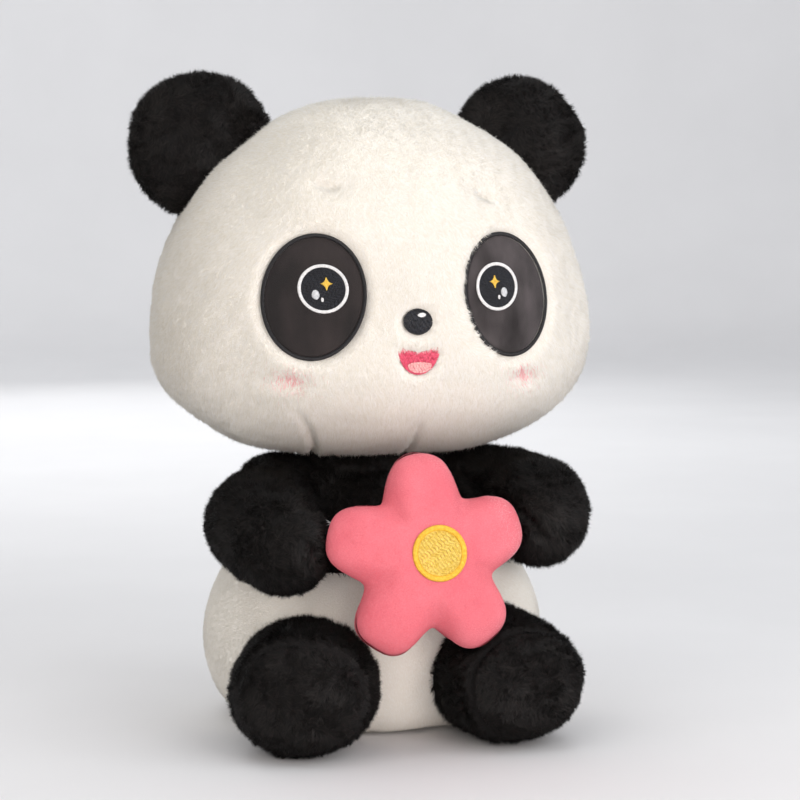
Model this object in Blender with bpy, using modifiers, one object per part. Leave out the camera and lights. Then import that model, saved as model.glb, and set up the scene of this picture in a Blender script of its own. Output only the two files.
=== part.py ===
"""A seated plush panda that holds a puffy five-petal flower, as its separate sewn pieces.

Metres, +Z up. The face looks towards -Y and the panda's right side is at -X.
The origin is the middle of the flat seat panel. Surfaces here are the cloth backings
of the fur fabric, so the pile stands further out.
"""

from math import atan2, cos, pi, radians, sin, sqrt

import bmesh
import bpy
from mathutils import Matrix, Vector

# Cloth and clearances
CLOTH = 0.0016
GAP = 0.0004
SEAM = 0.0012
LINING = CLOTH + 2 * GAP

# Head: an egg, wider than deep, flatter below its widest level than above it
HEAD_HALF_WIDTH = 0.168
HEAD_HALF_DEPTH = 0.119
HEAD_LEVEL = 0.299
HEAD_RISE = 0.178
HEAD_DROP = 0.086
HEAD_SQUARENESS = 2.4
HEAD_MIDDLE = Vector((0.0, 0.0, HEAD_LEVEL))
NECK_BALL = Vector((0.0, 0.0, 0.203))
NECK_BALL_RADIUS = 0.0405
NECK_SIDES = 16

# Face, as places on the front of the head (x, z) and sizes
PATCH_CENTRE = (0.0735, 0.334)
PATCH_HALF_WIDTH = 0.0385
PATCH_HALF_HEIGHT = 0.0465
PATCH_LEAN = radians(11)
PATCH_STITCH_WIDTH = 0.003
EYE_CENTRE = (0.0655, 0.340)
EYE_RADIUS = 0.0165
EYE_RING_WIDTH = 0.0027
STAR_OFFSET = (0.0022, 0.0036)
STAR_REACH = 0.0058
STAR_SIDE_REACH = 0.0049
STAR_WAIST = 0.0017
LARGE_GLINT_OFFSET = (-0.0055, -0.0042)
LARGE_GLINT_RADIUS = 0.0030
SMALL_GLINT_OFFSET = (-0.0010, -0.0078)
SMALL_GLINT_RADIUS = 0.0016
NOSE_CENTRE = (0.0, 0.3165)
NOSE_HALF_WIDTH = 0.0112
NOSE_HALF_HEIGHT = 0.0098
NOSE_GLINT_OFFSET = (0.0022, 0.0048)
NOSE_GLINT_HALF_WIDTH = 0.0028
NOSE_GLINT_HALF_HEIGHT = 0.0016
MOUTH_CENTRE = (0.0005, 0.2875)
MOUTH_HALF_WIDTH = 0.0148
MOUTH_CORNER_RISE = 0.0105
MOUTH_TOP_RISE = 0.0052
MOUTH_DEPTH = 0.0105
TONGUE_CENTRE = (0.0005, 0.2826)
TONGUE_HALF_WIDTH = 0.0072
TONGUE_HALF_HEIGHT = 0.0034
BROW_STITCH_CENTRE = (0.0595, 0.4115)
BROW_STITCH_HALF_LENGTH = 0.0045
BROW_STITCH_SLOPE = 0.35
APPLIQUE = 0.0010
APPLIQUE_LIFT = 0.0012
THREAD = 0.0006
THREAD_RADIUS = 0.0007
THREAD_SIDES = 6

# Ears: flat stuffed discs
EAR_CENTRE = Vector((0.130, 0.018, 0.4495))
EAR_RADIUS = 0.046
EAR_HALF_THICKNESS = 0.015
EAR_FILLING_RADIUS = 0.0425
EAR_SHARES = (1.0, 0.94, 0.76, 0.42, 0.0)
EAR_CLEARANCE = 0.0036
EAR_SIDES = 14
EAR_PIVOT = Vector((0.114, 0.018, 0.4323))

# Body: a pear that is a little wider than deep, as (radius, height) pairs
BODY_DEPTH = 0.83
BODY_SIDES = 24
BELLY_OUTLINE = (
    (0.0880, 0.0004),
    (0.1070, 0.0070),
    (0.1200, 0.0220),
    (0.1275, 0.0450),
    (0.1290, 0.0700),
    (0.1240, 0.0980),
    (0.1140, 0.1240),
)
YOKE_OUTLINE = (
    (0.1128, 0.1262),
    (0.0990, 0.1500),
    (0.0820, 0.1720),
    (0.0660, 0.1870),
    (0.0500, 0.1965),
)
SEAT_RADIUS = 0.0865
BODY_MIDDLE = Vector((0.0, 0.0, 0.09))
NECK_THREAD_RADIUS = 0.0445
NECK_THREAD_HEIGHT = 0.1998

# Legs: short fat tubes on a ball root, toes up, soles forward
HIP = Vector((0.062, -0.050, 0.050))
LEG_RADIUS = 0.0440
LEG_SIDES = 16
LEG_FLARE = 0.0012
LEG_TUBE = 0.094
LEG_END = (0.0390, 0.1065)
SOLE_REACH = 0.112
SOLE_RADIUS = 0.0370
SOLE_DOME = 0.0040
LEG_OPENING = radians(62)
RIGHT_LEG_YAW = radians(18)
LEFT_LEG_YAW = radians(8)
LEG_SPLAY = radians(12)

# Arms: fat beans that curve forward and then in towards the flower
SHOULDER_HEIGHT = 0.172
SHOULDER_DEPTH = -0.004
ARM_PATH = (
    (0.050, 0.010, 0.170),
    (0.094, -0.012, 0.178),
    (0.136, -0.104, 0.142),
    (0.073, -0.130, 0.161),
)
ARM_RADIUS = 0.0350
ARM_SIDES = 12
LEFT_ARM_RAISE = radians(8)
ARM_LIFT = radians(12)
ARM_COVER_SHARES = (0.07, 0.17, 0.29, 0.41, 0.53, 0.64, 0.74)
PAW_SHARES = (0.757, 0.84, 0.92, 0.97, 1.0)
ARM_LINING = LINING + 0.0010

# Flower: five round petals round a sunken middle, tilted back a little
FLOWER_CENTRE = Vector((0.0, -0.149, 0.1455))
FLOWER_TILT = radians(10)
PETALS = 5
FIRST_PETAL = radians(20)
PETAL_TIP = 0.0740
PETAL_VALLEY = 0.0505
PETAL_ROUNDNESS = 0.7
FLOWER_HALF_THICKNESS = 0.0255
FLOWER_DIMPLE = 0.0050
FLOWER_SHARES = (0, 0.36, 0.7, 0.92, 1.0)
FLOWER_LINING = LINING + 0.0010
DISC_CENTRE = (0.0025, 0.0030)
DISC_RADIUS = 0.0165
DISC_BORDER_WIDTH = 0.0040
DISC_LIFT = 0.0012
FLOWER_PIVOT = Vector((0.0, -0.125, 0.170))
PAW_STITCH = Vector((0.0655, -0.1245, 0.1690))
PAW_STITCH_HALF_LENGTH = 0.0022

# Room kept round every part that moves
SWEEP_CLEARANCE = 0.0008

# Base colour and roughness of each cloth and thread
PAINTS = {
    "white_fur": ((0.86, 0.83, 0.78), 0.95),
    "white_short_pile": ((0.84, 0.82, 0.79), 0.95),
    "seat_cloth": ((0.80, 0.78, 0.75), 0.95),
    "black_fur": ((0.012, 0.011, 0.012), 0.95),
    "patch_velvet": ((0.050, 0.040, 0.038), 0.95),
    "black_thread": ((0.010, 0.010, 0.014), 0.5),
    "navy_thread": ((0.013, 0.015, 0.035), 0.5),
    "white_thread": ((0.85, 0.85, 0.84), 0.6),
    "yellow_thread": ((0.83, 0.58, 0.08), 0.6),
    "gold_thread": ((0.78, 0.42, 0.04), 0.5),
    "crimson_thread": ((0.72, 0.07, 0.14), 0.6),
    "tongue_felt": ((0.85, 0.30, 0.33), 0.7),
    "flower_velvet": ((0.86, 0.27, 0.31), 0.95),
    "fibre_filling": ((0.82, 0.82, 0.80), 0.95),
}


def clear_scene():
    """Remove whatever objects the scene starts with."""
    for old in list(bpy.data.objects):
        bpy.data.objects.remove(old, do_unlink=True)


def make_collection(name):
    """A new collection in the scene."""
    collection = bpy.data.collections.new(name)
    bpy.context.scene.collection.children.link(collection)
    return collection


def material(name):
    """A plain cloth or thread material, made once and shared."""
    found = bpy.data.materials.get(name)
    if found:
        return found
    colour, roughness = PAINTS[name]
    made = bpy.data.materials.new(name)
    made.use_nodes = True
    shader = made.node_tree.nodes["Principled BSDF"]
    shader.inputs["Base Color"].default_value = (*colour, 1.0)
    shader.inputs["Roughness"].default_value = roughness
    shader.inputs["Metallic"].default_value = 0.0
    made.diffuse_color = (*colour, 1.0)
    return made


def pivot_empty(name, place, parent=None):
    """An empty on a joint's axis, which the moving pieces hang from."""
    start = parent.matrix_world.translation if parent else Vector()
    empty = bpy.data.objects.new(name, None)
    PARTS.objects.link(empty)
    empty.location = place - start
    empty.parent = parent
    bpy.context.view_layer.update()
    return empty


def mirrored(place, side):
    """A place on the panda's left as it is on the given side."""
    return Vector((side * place.x, place.y, place.z))


def piece(name, mesh, paint, pivot, middle):
    """A named object of the panda, from a bmesh in world coordinates, facing away from its middle."""
    bmesh.ops.recalc_face_normals(mesh, faces=mesh.faces)
    outward = [f.normal.dot(f.calc_center_median() - middle) * f.calc_area() for f in mesh.faces]
    if sum(outward) < 0:
        bmesh.ops.reverse_faces(mesh, faces=mesh.faces)
    mesh.transform(Matrix.Translation(-pivot.matrix_world.translation))
    data = bpy.data.meshes.new(name)
    mesh.to_mesh(data)
    mesh.free()
    data.shade_smooth()
    made = bpy.data.objects.new(name, data)
    made.data.materials.append(material(paint))
    made.parent = pivot
    PARTS.objects.link(made)
    return made


def cutter(name, mesh):
    """A hidden wire object that Booleans cut with."""
    bmesh.ops.recalc_face_normals(mesh, faces=mesh.faces)
    data = bpy.data.meshes.new(name)
    mesh.to_mesh(data)
    mesh.free()
    made = bpy.data.objects.new(name, data)
    made.hide_render = True
    made.display_type = "WIRE"
    CUTTERS.objects.link(made)
    return made


def thicken(target, thickness, inward=True):
    """Turn an open cloth surface into a panel of even thickness."""
    solid = target.modifiers.new("panel", "SOLIDIFY")
    solid.thickness = thickness
    solid.offset = -1.0 if inward else 1.0
    solid.use_even_offset = True


def cut(target, *tools):
    """Cut a target by each tool."""
    for tool in tools:
        boolean = target.modifiers.new("cut_" + tool.name, "BOOLEAN")
        boolean.operation = "DIFFERENCE"
        boolean.solver = "EXACT"
        boolean.object = tool


def lathe(outline, segments, depth=1.0):
    """Turn (radius, height) pairs round Z, then squeeze the result along Y."""
    mesh = bmesh.new()
    corners = [mesh.verts.new((radius, 0.0, height)) for radius, height in outline]
    edges = [mesh.edges.new(pair) for pair in zip(corners, corners[1:])]
    bmesh.ops.spin(
        mesh,
        geom=corners + edges,
        cent=(0, 0, 0),
        axis=(0, 0, 1),
        angle=2 * pi,
        steps=segments,
        use_merge=True,
    )
    bmesh.ops.remove_doubles(mesh, verts=mesh.verts, dist=0.00001)
    bmesh.ops.scale(mesh, vec=(1.0, depth, 1.0), verts=mesh.verts)
    return mesh


def inset(outline, distance):
    """Move each point of a (radius, height) outline inward, square to its neighbours."""
    moved = []
    for index, (radius, height) in enumerate(outline):
        before = outline[max(index - 1, 0)]
        after = outline[min(index + 1, len(outline) - 1)]
        along = Vector((after[0] - before[0], after[1] - before[1])).normalized()
        moved.append((radius - distance * along.y, height + distance * along.x))
    return moved


def tube(path, directions, radii, sides):
    """Loft round rings along a path. A ring with no radius is one closing point."""
    mesh = bmesh.new()
    rings = []
    for centre, direction, radius in zip(path, directions, radii):
        if radius < 0.00005:
            rings.append([mesh.verts.new(centre)])
            continue
        along = direction.normalized()
        side = along.cross(Vector((0, 0, 1))).normalized()
        top = side.cross(along)
        turns = [2 * pi * step / sides for step in range(sides)]
        rings.append([mesh.verts.new(centre + radius * (cos(a) * side + sin(a) * top)) for a in turns])
    for first, second in zip(rings, rings[1:]):
        bridge(mesh, first, second)
    return mesh


def bridge(mesh, first, second):
    """Fill between two rings of vertices, where either may be a single point."""
    count = max(len(first), len(second))
    for step in range(count):
        around = (step + 1) % count
        if len(first) == 1:
            mesh.faces.new((first[0], second[step], second[around]))
        elif len(second) == 1:
            mesh.faces.new((first[step], first[around], second[0]))
        else:
            mesh.faces.new((first[step], first[around], second[around], second[step]))


def rings_on(surface, outline, shares):
    """Nested copies of an outline, laid on a surface. A share of 0 is the middle point."""
    mesh = bmesh.new()
    rings = []
    for share in shares:
        if share == 0:
            rings.append([mesh.verts.new(surface(0.0, 0.0))])
        else:
            rings.append([mesh.verts.new(surface(share * x, share * z)) for x, z in outline])
    for first, second in zip(rings, rings[1:]):
        bridge(mesh, first, second)
    return mesh


def thread_bar(middle, run):
    """A short thread with pointed ends, from middle - run to middle + run."""
    path = [middle + share * run for share in (-1, -0.8, 0.8, 1)]
    return tube(path, [run] * 4, [0, THREAD_RADIUS, THREAD_RADIUS, 0], THREAD_SIDES)


def ellipse(half_width, half_height, sides, lean=0.0):
    """Points of an ellipse whose top leans towards +X."""
    points = []
    for step in range(sides):
        turn = 2 * pi * step / sides
        x, z = half_width * cos(turn), half_height * sin(turn)
        points.append((x * cos(lean) + z * sin(lean), z * cos(lean) - x * sin(lean)))
    return points


# Head ------------------------------------------------------------------------


def head_from_ball(point, shrink=0.0):
    """Where a point of the unit sphere lies on the head, drawn in by shrink."""
    width, depth = HEAD_HALF_WIDTH - shrink, HEAD_HALF_DEPTH - shrink
    if point.z >= 0:
        return Vector((width * point.x, depth * point.y, HEAD_LEVEL + (HEAD_RISE - shrink) * point.z))
    bulge = 2 / HEAD_SQUARENESS
    flat = sqrt(point.x**2 + point.y**2)
    spread = flat**bulge / flat if flat > 1e-6 else 0.0
    drop = (HEAD_DROP - shrink) * (-point.z) ** bulge
    return Vector((width * point.x * spread, depth * point.y * spread, HEAD_LEVEL - drop))


def head_mesh(shrink=0.0):
    """The closed head surface, drawn in by shrink."""
    mesh = bmesh.new()
    bmesh.ops.create_uvsphere(mesh, u_segments=24, v_segments=12, radius=1.0)
    for vertex in mesh.verts:
        vertex.co = head_from_ball(vertex.co, shrink)
    return mesh


def face_point(x, z, lift):
    """A point on the front of the head at x and z, moved out along the surface normal."""
    rise = z - HEAD_LEVEL
    if rise >= 0:
        level = sqrt(1 - (rise / HEAD_RISE) ** 2)
        slope = rise / HEAD_RISE**2
    else:
        share = -rise / HEAD_DROP
        level = (1 - share**HEAD_SQUARENESS) ** (1 / HEAD_SQUARENESS)
        slope = -(share ** (HEAD_SQUARENESS - 1)) * level ** (2 - HEAD_SQUARENESS) / HEAD_DROP
    y = -HEAD_HALF_DEPTH * sqrt(level**2 - (x / HEAD_HALF_WIDTH) ** 2)
    normal = Vector((x / HEAD_HALF_WIDTH**2, y / HEAD_HALF_DEPTH**2, slope)).normalized()
    return Vector((x, y, z)) + lift * normal


def add_applique(name, paint, centre, outline, shares, level, thickness):
    """A thin piece of cloth or embroidery that follows the front of the head."""

    def surface(x, z):
        return face_point(centre[0] + x, centre[1] + z, level)

    made = piece(name, rings_on(surface, outline, shares), paint, HEAD_PIVOT, HEAD_MIDDLE)
    thicken(made, thickness, inward=False)
    return made


def add_head_panels():
    """Four quarter shells: face and back, right and left."""
    for front, row in ((-1, "face_panel"), (1, "head_back_panel")):
        for side, word in SIDES:
            mesh = head_mesh()
            outside = []
            for face in mesh.faces:
                centre = face.calc_center_median()
                if centre.x * side < 0 or centre.y * front < 0:
                    outside.append(face)
            bmesh.ops.delete(mesh, geom=outside, context="FACES")
            bmesh.ops.translate(mesh, vec=(side * SEAM / 2, front * SEAM / 2, 0), verts=mesh.verts)
            panel = piece(f"{row}_{word}", mesh, "white_fur", HEAD_PIVOT, HEAD_MIDDLE)
            thicken(panel, CLOTH)
            cut(panel, NECK_CUTTER)


def add_head_stuffing():
    """The fibre fill inside the head, hollowed for the neck ball."""
    shape = head_mesh(LINING + GAP)
    filling = piece("head_stuffing", shape, "fibre_filling", HEAD_PIVOT, HEAD_MIDDLE)
    cut(filling, NECK_CUTTER)


def star_outline():
    """A four-point star, a little taller than wide."""
    reaches = (STAR_SIDE_REACH, STAR_WAIST, STAR_REACH, STAR_WAIST)
    points = []
    for step, reach in enumerate(reaches * 2):
        turn = pi * step / 4
        points.append((reach * cos(turn), reach * sin(turn)))
    return points


def add_patch(side, word):
    """The velvet eye patch and the satin stitching over its edge."""
    centre = (side * PATCH_CENTRE[0], PATCH_CENTRE[1])
    lean = -side * PATCH_LEAN
    velvet = ellipse(PATCH_HALF_WIDTH, PATCH_HALF_HEIGHT, 18, lean)
    shares = (0, 0.5, 1.0)
    add_applique(f"eye_patch_{word}", "patch_velvet", centre, velvet, shares, APPLIQUE_LIFT, APPLIQUE)
    width = PATCH_HALF_WIDTH + PATCH_STITCH_WIDTH
    height = PATCH_HALF_HEIGHT + PATCH_STITCH_WIDTH
    edge = ellipse(width, height, 18, lean)
    shares = ((PATCH_HALF_HEIGHT + 2 * GAP) / height, 1.0)
    name, thickness = f"patch_stitching_{word}", APPLIQUE + THREAD
    add_applique(name, "black_thread", centre, edge, shares, APPLIQUE_LIFT, thickness)


def add_eye(side, word):
    """The embroidered iris, its white ring, and the star and two glints on it."""
    centre = (side * EYE_CENTRE[0], EYE_CENTRE[1])
    level = APPLIQUE_LIFT + APPLIQUE + GAP
    iris = ellipse(EYE_RADIUS, EYE_RADIUS, 12)
    add_applique(f"iris_{word}", "navy_thread", centre, iris, (0, 0.5, 1.0), level, THREAD)
    inner = EYE_RADIUS + GAP
    outer = inner + EYE_RING_WIDTH
    ring = ellipse(outer, outer, 12)
    add_applique(f"iris_ring_{word}", "white_thread", centre, ring, (inner / outer, 1.0), level, THREAD)
    large = ellipse(LARGE_GLINT_RADIUS, LARGE_GLINT_RADIUS, 8)
    small = ellipse(SMALL_GLINT_RADIUS, SMALL_GLINT_RADIUS, 6)
    marks = (
        ("eye_star", "yellow_thread", STAR_OFFSET, star_outline()),
        ("eye_glint_large", "white_thread", LARGE_GLINT_OFFSET, large),
        ("eye_glint_small", "white_thread", SMALL_GLINT_OFFSET, small),
    )
    for name, paint, offset, outline in marks:
        place = (centre[0] - side * offset[0], centre[1] + offset[1])
        add_applique(f"{name}_{word}", paint, place, outline, (0, 1.0), level + THREAD + GAP, THREAD)


def mouth_outline():
    """An open smile: a deep lower arc and a shallow upper one between two raised corners."""
    points = []
    for step in range(8):
        across = cos(pi * step / 8)
        rise = MOUTH_TOP_RISE + (MOUTH_CORNER_RISE - MOUTH_TOP_RISE) * abs(across) ** 1.5
        points.append((MOUTH_HALF_WIDTH * across, rise))
    for step in range(8):
        across = -cos(pi * step / 8)
        rise = MOUTH_CORNER_RISE - (MOUTH_CORNER_RISE + MOUTH_DEPTH) * sqrt(1 - across**2)
        points.append((MOUTH_HALF_WIDTH * across, rise))
    return points


def add_muzzle():
    """Embroidered nose with its glint, and the smile with its tongue."""
    on_top = APPLIQUE_LIFT + APPLIQUE + GAP
    nose = ellipse(NOSE_HALF_WIDTH, NOSE_HALF_HEIGHT, 12)
    glint = ellipse(NOSE_GLINT_HALF_WIDTH, NOSE_GLINT_HALF_HEIGHT, 8)
    glint_centre = (NOSE_CENTRE[0] + NOSE_GLINT_OFFSET[0], NOSE_CENTRE[1] + NOSE_GLINT_OFFSET[1])
    mouth = mouth_outline()
    tongue = ellipse(TONGUE_HALF_WIDTH, TONGUE_HALF_HEIGHT, 10)
    add_applique("nose", "navy_thread", NOSE_CENTRE, nose, (0, 0.6, 1.0), APPLIQUE_LIFT, APPLIQUE)
    add_applique("nose_glint", "white_thread", glint_centre, glint, (0, 1.0), on_top, THREAD)
    add_applique("mouth", "crimson_thread", MOUTH_CENTRE, mouth, (0, 0.55, 1.0), APPLIQUE_LIFT, APPLIQUE)
    add_applique("tongue", "tongue_felt", TONGUE_CENTRE, tongue, (0, 1.0), on_top, THREAD)


def add_brow_stitch(side, word):
    """The thread that pulls a small dent over each eye."""
    x, z = side * BROW_STITCH_CENTRE[0], BROW_STITCH_CENTRE[1]
    middle = face_point(x, z, THREAD_RADIUS + GAP)
    run = Vector((1, 0, -side * BROW_STITCH_SLOPE)).normalized() * BROW_STITCH_HALF_LENGTH
    piece(f"brow_stitch_{word}", thread_bar(middle, run), "white_thread", HEAD_PIVOT, middle)


# Ears ------------------------------------------------------------------------


def ear_outline(radius, half_thickness, rim):
    """Half the section of a stuffed disc, from its rim to its middle."""
    points = []
    for share in EAR_SHARES:
        height = rim + (half_thickness - rim) * (1 - share**2.6) ** 0.6
        points.append((radius * share, height))
    return points


def ear_placement(side):
    """Stand a disc that was turned round Z so that it faces forward at the ear's place."""
    return Matrix.Translation(mirrored(EAR_CENTRE, side)) @ Matrix.Rotation(radians(90), 4, "X")


def add_ear(side, word):
    """Front and back panels sewn round the rim, with the filling between them."""
    pivot = pivot_empty(f"ear_pivot_{word}", mirrored(EAR_PIVOT, side), HEAD_PIVOT)
    middle = mirrored(EAR_CENTRE, side)
    half = ear_outline(EAR_RADIUS, EAR_HALF_THICKNESS, SEAM)
    for sign, row in ((1, "ear_front"), (-1, "ear_back")):
        mesh = lathe([(radius, sign * height) for radius, height in half], EAR_SIDES)
        mesh.transform(ear_placement(side))
        panel = piece(f"{row}_{word}", mesh, "black_fur", pivot, middle)
        thicken(panel, CLOTH)
        cut(panel, HEAD_CUTTER)
    inner = ear_outline(EAR_FILLING_RADIUS, EAR_HALF_THICKNESS - LINING, 0.0)
    closed = inner[::-1] + [(radius, -height) for radius, height in inner[1:]]
    mesh = lathe(closed, EAR_SIDES)
    mesh.transform(ear_placement(side))
    filling = piece(f"ear_stuffing_{word}", mesh, "fibre_filling", pivot, middle)
    cut(filling, HEAD_CUTTER)


# Body ------------------------------------------------------------------------


def add_body(limb_cutters):
    """White belly cover, black yoke, flat seat panel and the filling."""
    rows = (
        ("belly_cover", BELLY_OUTLINE, "white_short_pile"),
        ("yoke_cover", YOKE_OUTLINE, "black_fur"),
    )
    for name, outline, paint in rows:
        cover = piece(name, lathe(outline, BODY_SIDES, BODY_DEPTH), paint, TORSO, BODY_MIDDLE)
        thicken(cover, CLOTH)
        cut(cover, *limb_cutters)
    seat_outline = [(0, 0), (SEAT_RADIUS, 0), (SEAT_RADIUS, CLOTH), (0, CLOTH)]
    seat = lathe(seat_outline, BODY_SIDES, BODY_DEPTH)
    piece("seat_panel", seat, "seat_cloth", TORSO, Vector((0, 0, CLOTH / 2)))
    inner = inset(BELLY_OUTLINE + YOKE_OUTLINE, LINING)
    shape = lathe([(0, inner[0][1])] + inner + [(0, inner[-1][1])], BODY_SIDES, BODY_DEPTH)
    filling = piece("body_stuffing", shape, "fibre_filling", TORSO, BODY_MIDDLE)
    cut(filling, *limb_cutters, NECK_CUTTER)


def add_neck():
    """The gathered ball of filling that the head turns on, and the thread round the neck."""
    piece("neck_stuffing", neck_ball(NECK_BALL_RADIUS), "fibre_filling", NECK_PIVOT, NECK_BALL)
    section = []
    for step in range(THREAD_SIDES + 1):
        turn = 2 * pi * step / THREAD_SIDES
        radius = NECK_THREAD_RADIUS + THREAD_RADIUS * cos(turn)
        section.append((radius, NECK_THREAD_HEIGHT + THREAD_RADIUS * sin(turn)))
    piece("neck_seam_thread", lathe(section, NECK_SIDES), "black_thread", TORSO, NECK_BALL)


def neck_ball(radius):
    """A ball about the middle of the neck."""
    mesh = bmesh.new()
    bmesh.ops.create_uvsphere(mesh, u_segments=NECK_SIDES, v_segments=NECK_SIDES // 2, radius=radius)
    mesh.transform(Matrix.Translation(NECK_BALL))
    return mesh


# Legs ------------------------------------------------------------------------


def leg_placement(side, yaw):
    """Lay a leg that was turned round Z forward from its hip, toes out by yaw."""
    turned_out = Matrix.Translation(mirrored(HIP, side)) @ Matrix.Rotation(side * yaw, 4, "Z")
    return turned_out @ Matrix.Rotation(radians(90), 4, "X")


def leg_outline(radius, start):
    """Section of the leg's cover from the root ball to the sole seam."""
    ball = []
    for step in range(4):
        turn = start * (1 - step / 3)
        ball.append((radius * cos(turn), -radius * sin(turn)))
    return ball + [
        (radius + LEG_FLARE, LEG_TUBE * 0.75),
        (radius + LEG_FLARE * 0.3, LEG_TUBE),
        LEG_END,
    ]


def sole_outline(radius, reach):
    """Section of the slightly domed sole, from its seam to its middle."""
    return [(radius, reach - SOLE_DOME), (radius * 0.6, reach - SOLE_DOME / 4), (0.0, reach)]


def add_leg(side, word, yaw):
    """Cover, sole and filling of one leg."""
    place = leg_placement(side, yaw)
    hip = place.translation
    pivot = pivot_empty(f"hip_pivot_{word}", hip, TORSO)
    rows = (
        (f"leg_cover_{word}", leg_outline(LEG_RADIUS, LEG_OPENING)),
        (f"sole_panel_{word}", sole_outline(SOLE_RADIUS, SOLE_REACH)),
    )
    for name, outline in rows:
        mesh = lathe(outline, LEG_SIDES)
        mesh.transform(place)
        thicken(piece(name, mesh, "black_fur", pivot, hip), CLOTH)
    cover = inset(leg_outline(LEG_RADIUS, LEG_OPENING), LINING)[:-1]
    sole = sole_outline(SOLE_RADIUS - LINING, SOLE_REACH - LINING - GAP)
    mesh = lathe([(0, cover[0][1])] + cover + [sole[0], sole[-1]], LEG_SIDES)
    mesh.transform(place)
    middle = place @ Vector((0, 0, SOLE_REACH / 2))
    piece(f"leg_stuffing_{word}", mesh, "fibre_filling", pivot, middle)


def leg_sweep(side, word, yaw):
    """The space a leg needs in the body over its whole splay."""
    radius = LEG_RADIUS + SWEEP_CLEARANCE
    outline = [(0, -radius)] + leg_outline(radius, LEG_OPENING) + [(0, SOLE_REACH)]
    mesh = bmesh.new()
    for turn in (yaw, yaw + LEG_SPLAY):
        posed = lathe(outline, LEG_SIDES)
        posed.transform(leg_placement(side, turn))
        append(mesh, posed)
    return cutter(f"leg_sweep_{word}", hull_of(mesh))


def append(mesh, other):
    """Add another bmesh's shape to mesh."""
    data = bpy.data.meshes.new("appended")
    other.to_mesh(data)
    other.free()
    mesh.from_mesh(data)
    bpy.data.meshes.remove(data)


def hull_of(mesh):
    """The convex hull of everything in a bmesh."""
    found = bmesh.ops.convex_hull(mesh, input=mesh.verts)
    hull = {f for f in found["geom"] if isinstance(f, bmesh.types.BMFace)}
    bmesh.ops.delete(mesh, geom=[f for f in mesh.faces if f not in hull], context="FACES_ONLY")
    bmesh.ops.delete(mesh, geom=[e for e in mesh.edges if not e.link_faces], context="EDGES")
    bmesh.ops.delete(mesh, geom=[v for v in mesh.verts if not v.link_edges], context="VERTS")
    return mesh


# Arms ------------------------------------------------------------------------


def arm_point(side, share):
    """A point of the arm's middle line, raised about the shoulder axis on the left."""
    root, out, across, paw = (mirrored(Vector(place), side) for place in ARM_PATH)
    rest = 1 - share
    point = rest**3 * root + 3 * rest**2 * share * out + 3 * rest * share**2 * across + share**3 * paw
    return shoulder_turn(LEFT_ARM_RAISE if side > 0 else 0.0) @ point


def shoulder_turn(angle):
    """A turn that lifts the paws about the axis through both shoulders."""
    place = Vector((0, SHOULDER_DEPTH, SHOULDER_HEIGHT))
    return Matrix.Translation(place) @ Matrix.Rotation(-angle, 4, "X") @ Matrix.Translation(-place)


def arm_length():
    """Length of the arm's middle line."""
    points = [arm_point(-1, step / 40) for step in range(41)]
    return sum((b - a).length for a, b in zip(points, points[1:]))


def arm_tube(side, shares, shrink, closed=True, grow=0.0):
    """The arm's surface at some shares of its middle line, drawn in by shrink."""
    length = arm_length()
    radius = ARM_RADIUS + grow
    path, directions, radii = [], [], []
    for share in shares:
        along = share * length
        beyond = max(0.0, radius - along, along - (length - radius))
        path.append(arm_point(side, share))
        directions.append(arm_point(side, share + 0.01) - arm_point(side, share - 0.01))
        radii.append(sqrt(max(0.0, (radius - shrink) ** 2 - beyond**2)))
    if closed:
        radii[0] = radii[-1] = 0.0
    return tube(path, directions, radii, ARM_SIDES)


def add_arm(side, word):
    """Cover, paw panel and filling of one arm."""
    place = Vector((side * ARM_PATH[0][0], SHOULDER_DEPTH, SHOULDER_HEIGHT))
    pivot = pivot_empty(f"shoulder_pivot_{word}", place, TORSO)
    rows = (
        (f"arm_cover_{word}", ARM_COVER_SHARES, 0.4),
        (f"paw_panel_{word}", PAW_SHARES, PAW_SHARES[0]),
    )
    for name, shares, middle in rows:
        sleeve = arm_tube(side, shares, 0.0, closed=False)
        thicken(piece(name, sleeve, "black_fur", pivot, arm_point(side, middle)), CLOTH)
    edge = ARM_LINING / arm_length()
    shares = (edge, *ARM_COVER_SHARES, *PAW_SHARES[:-1], 1 - 1.5 * edge)
    filling = arm_tube(side, shares, ARM_LINING)
    piece(f"arm_stuffing_{word}", filling, "fibre_filling", pivot, arm_point(side, 0.5))
    return pivot


def arm_sweep(side, word):
    """The space an arm needs in the body over its whole lift."""
    mesh = bmesh.new()
    shares = (0.0, *ARM_COVER_SHARES, *PAW_SHARES[1:])
    for lift in (0.0, ARM_LIFT):
        posed = arm_tube(side, shares, 0.0, grow=SWEEP_CLEARANCE)
        posed.transform(shoulder_turn(lift))
        append(mesh, posed)
    return cutter(f"arm_sweep_{word}", hull_of(mesh))


# Flower ----------------------------------------------------------------------


def petal_reach(turn, tip, valley):
    """Distance from the flower's middle to its rim in one direction."""
    wave = abs(sin(PETALS * (turn - FIRST_PETAL) / 2 + pi / 2))
    return valley + (tip - valley) * wave**PETAL_ROUNDNESS


def flower_rim(shrink):
    """The flower's outline, drawn in by shrink."""
    points = []
    sides = 5 * PETALS
    for step in range(sides):
        turn = FIRST_PETAL + 2 * pi * step / sides
        reach = petal_reach(turn, PETAL_TIP, PETAL_VALLEY) - shrink
        points.append((reach * cos(turn), reach * sin(turn)))
    return points


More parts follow.
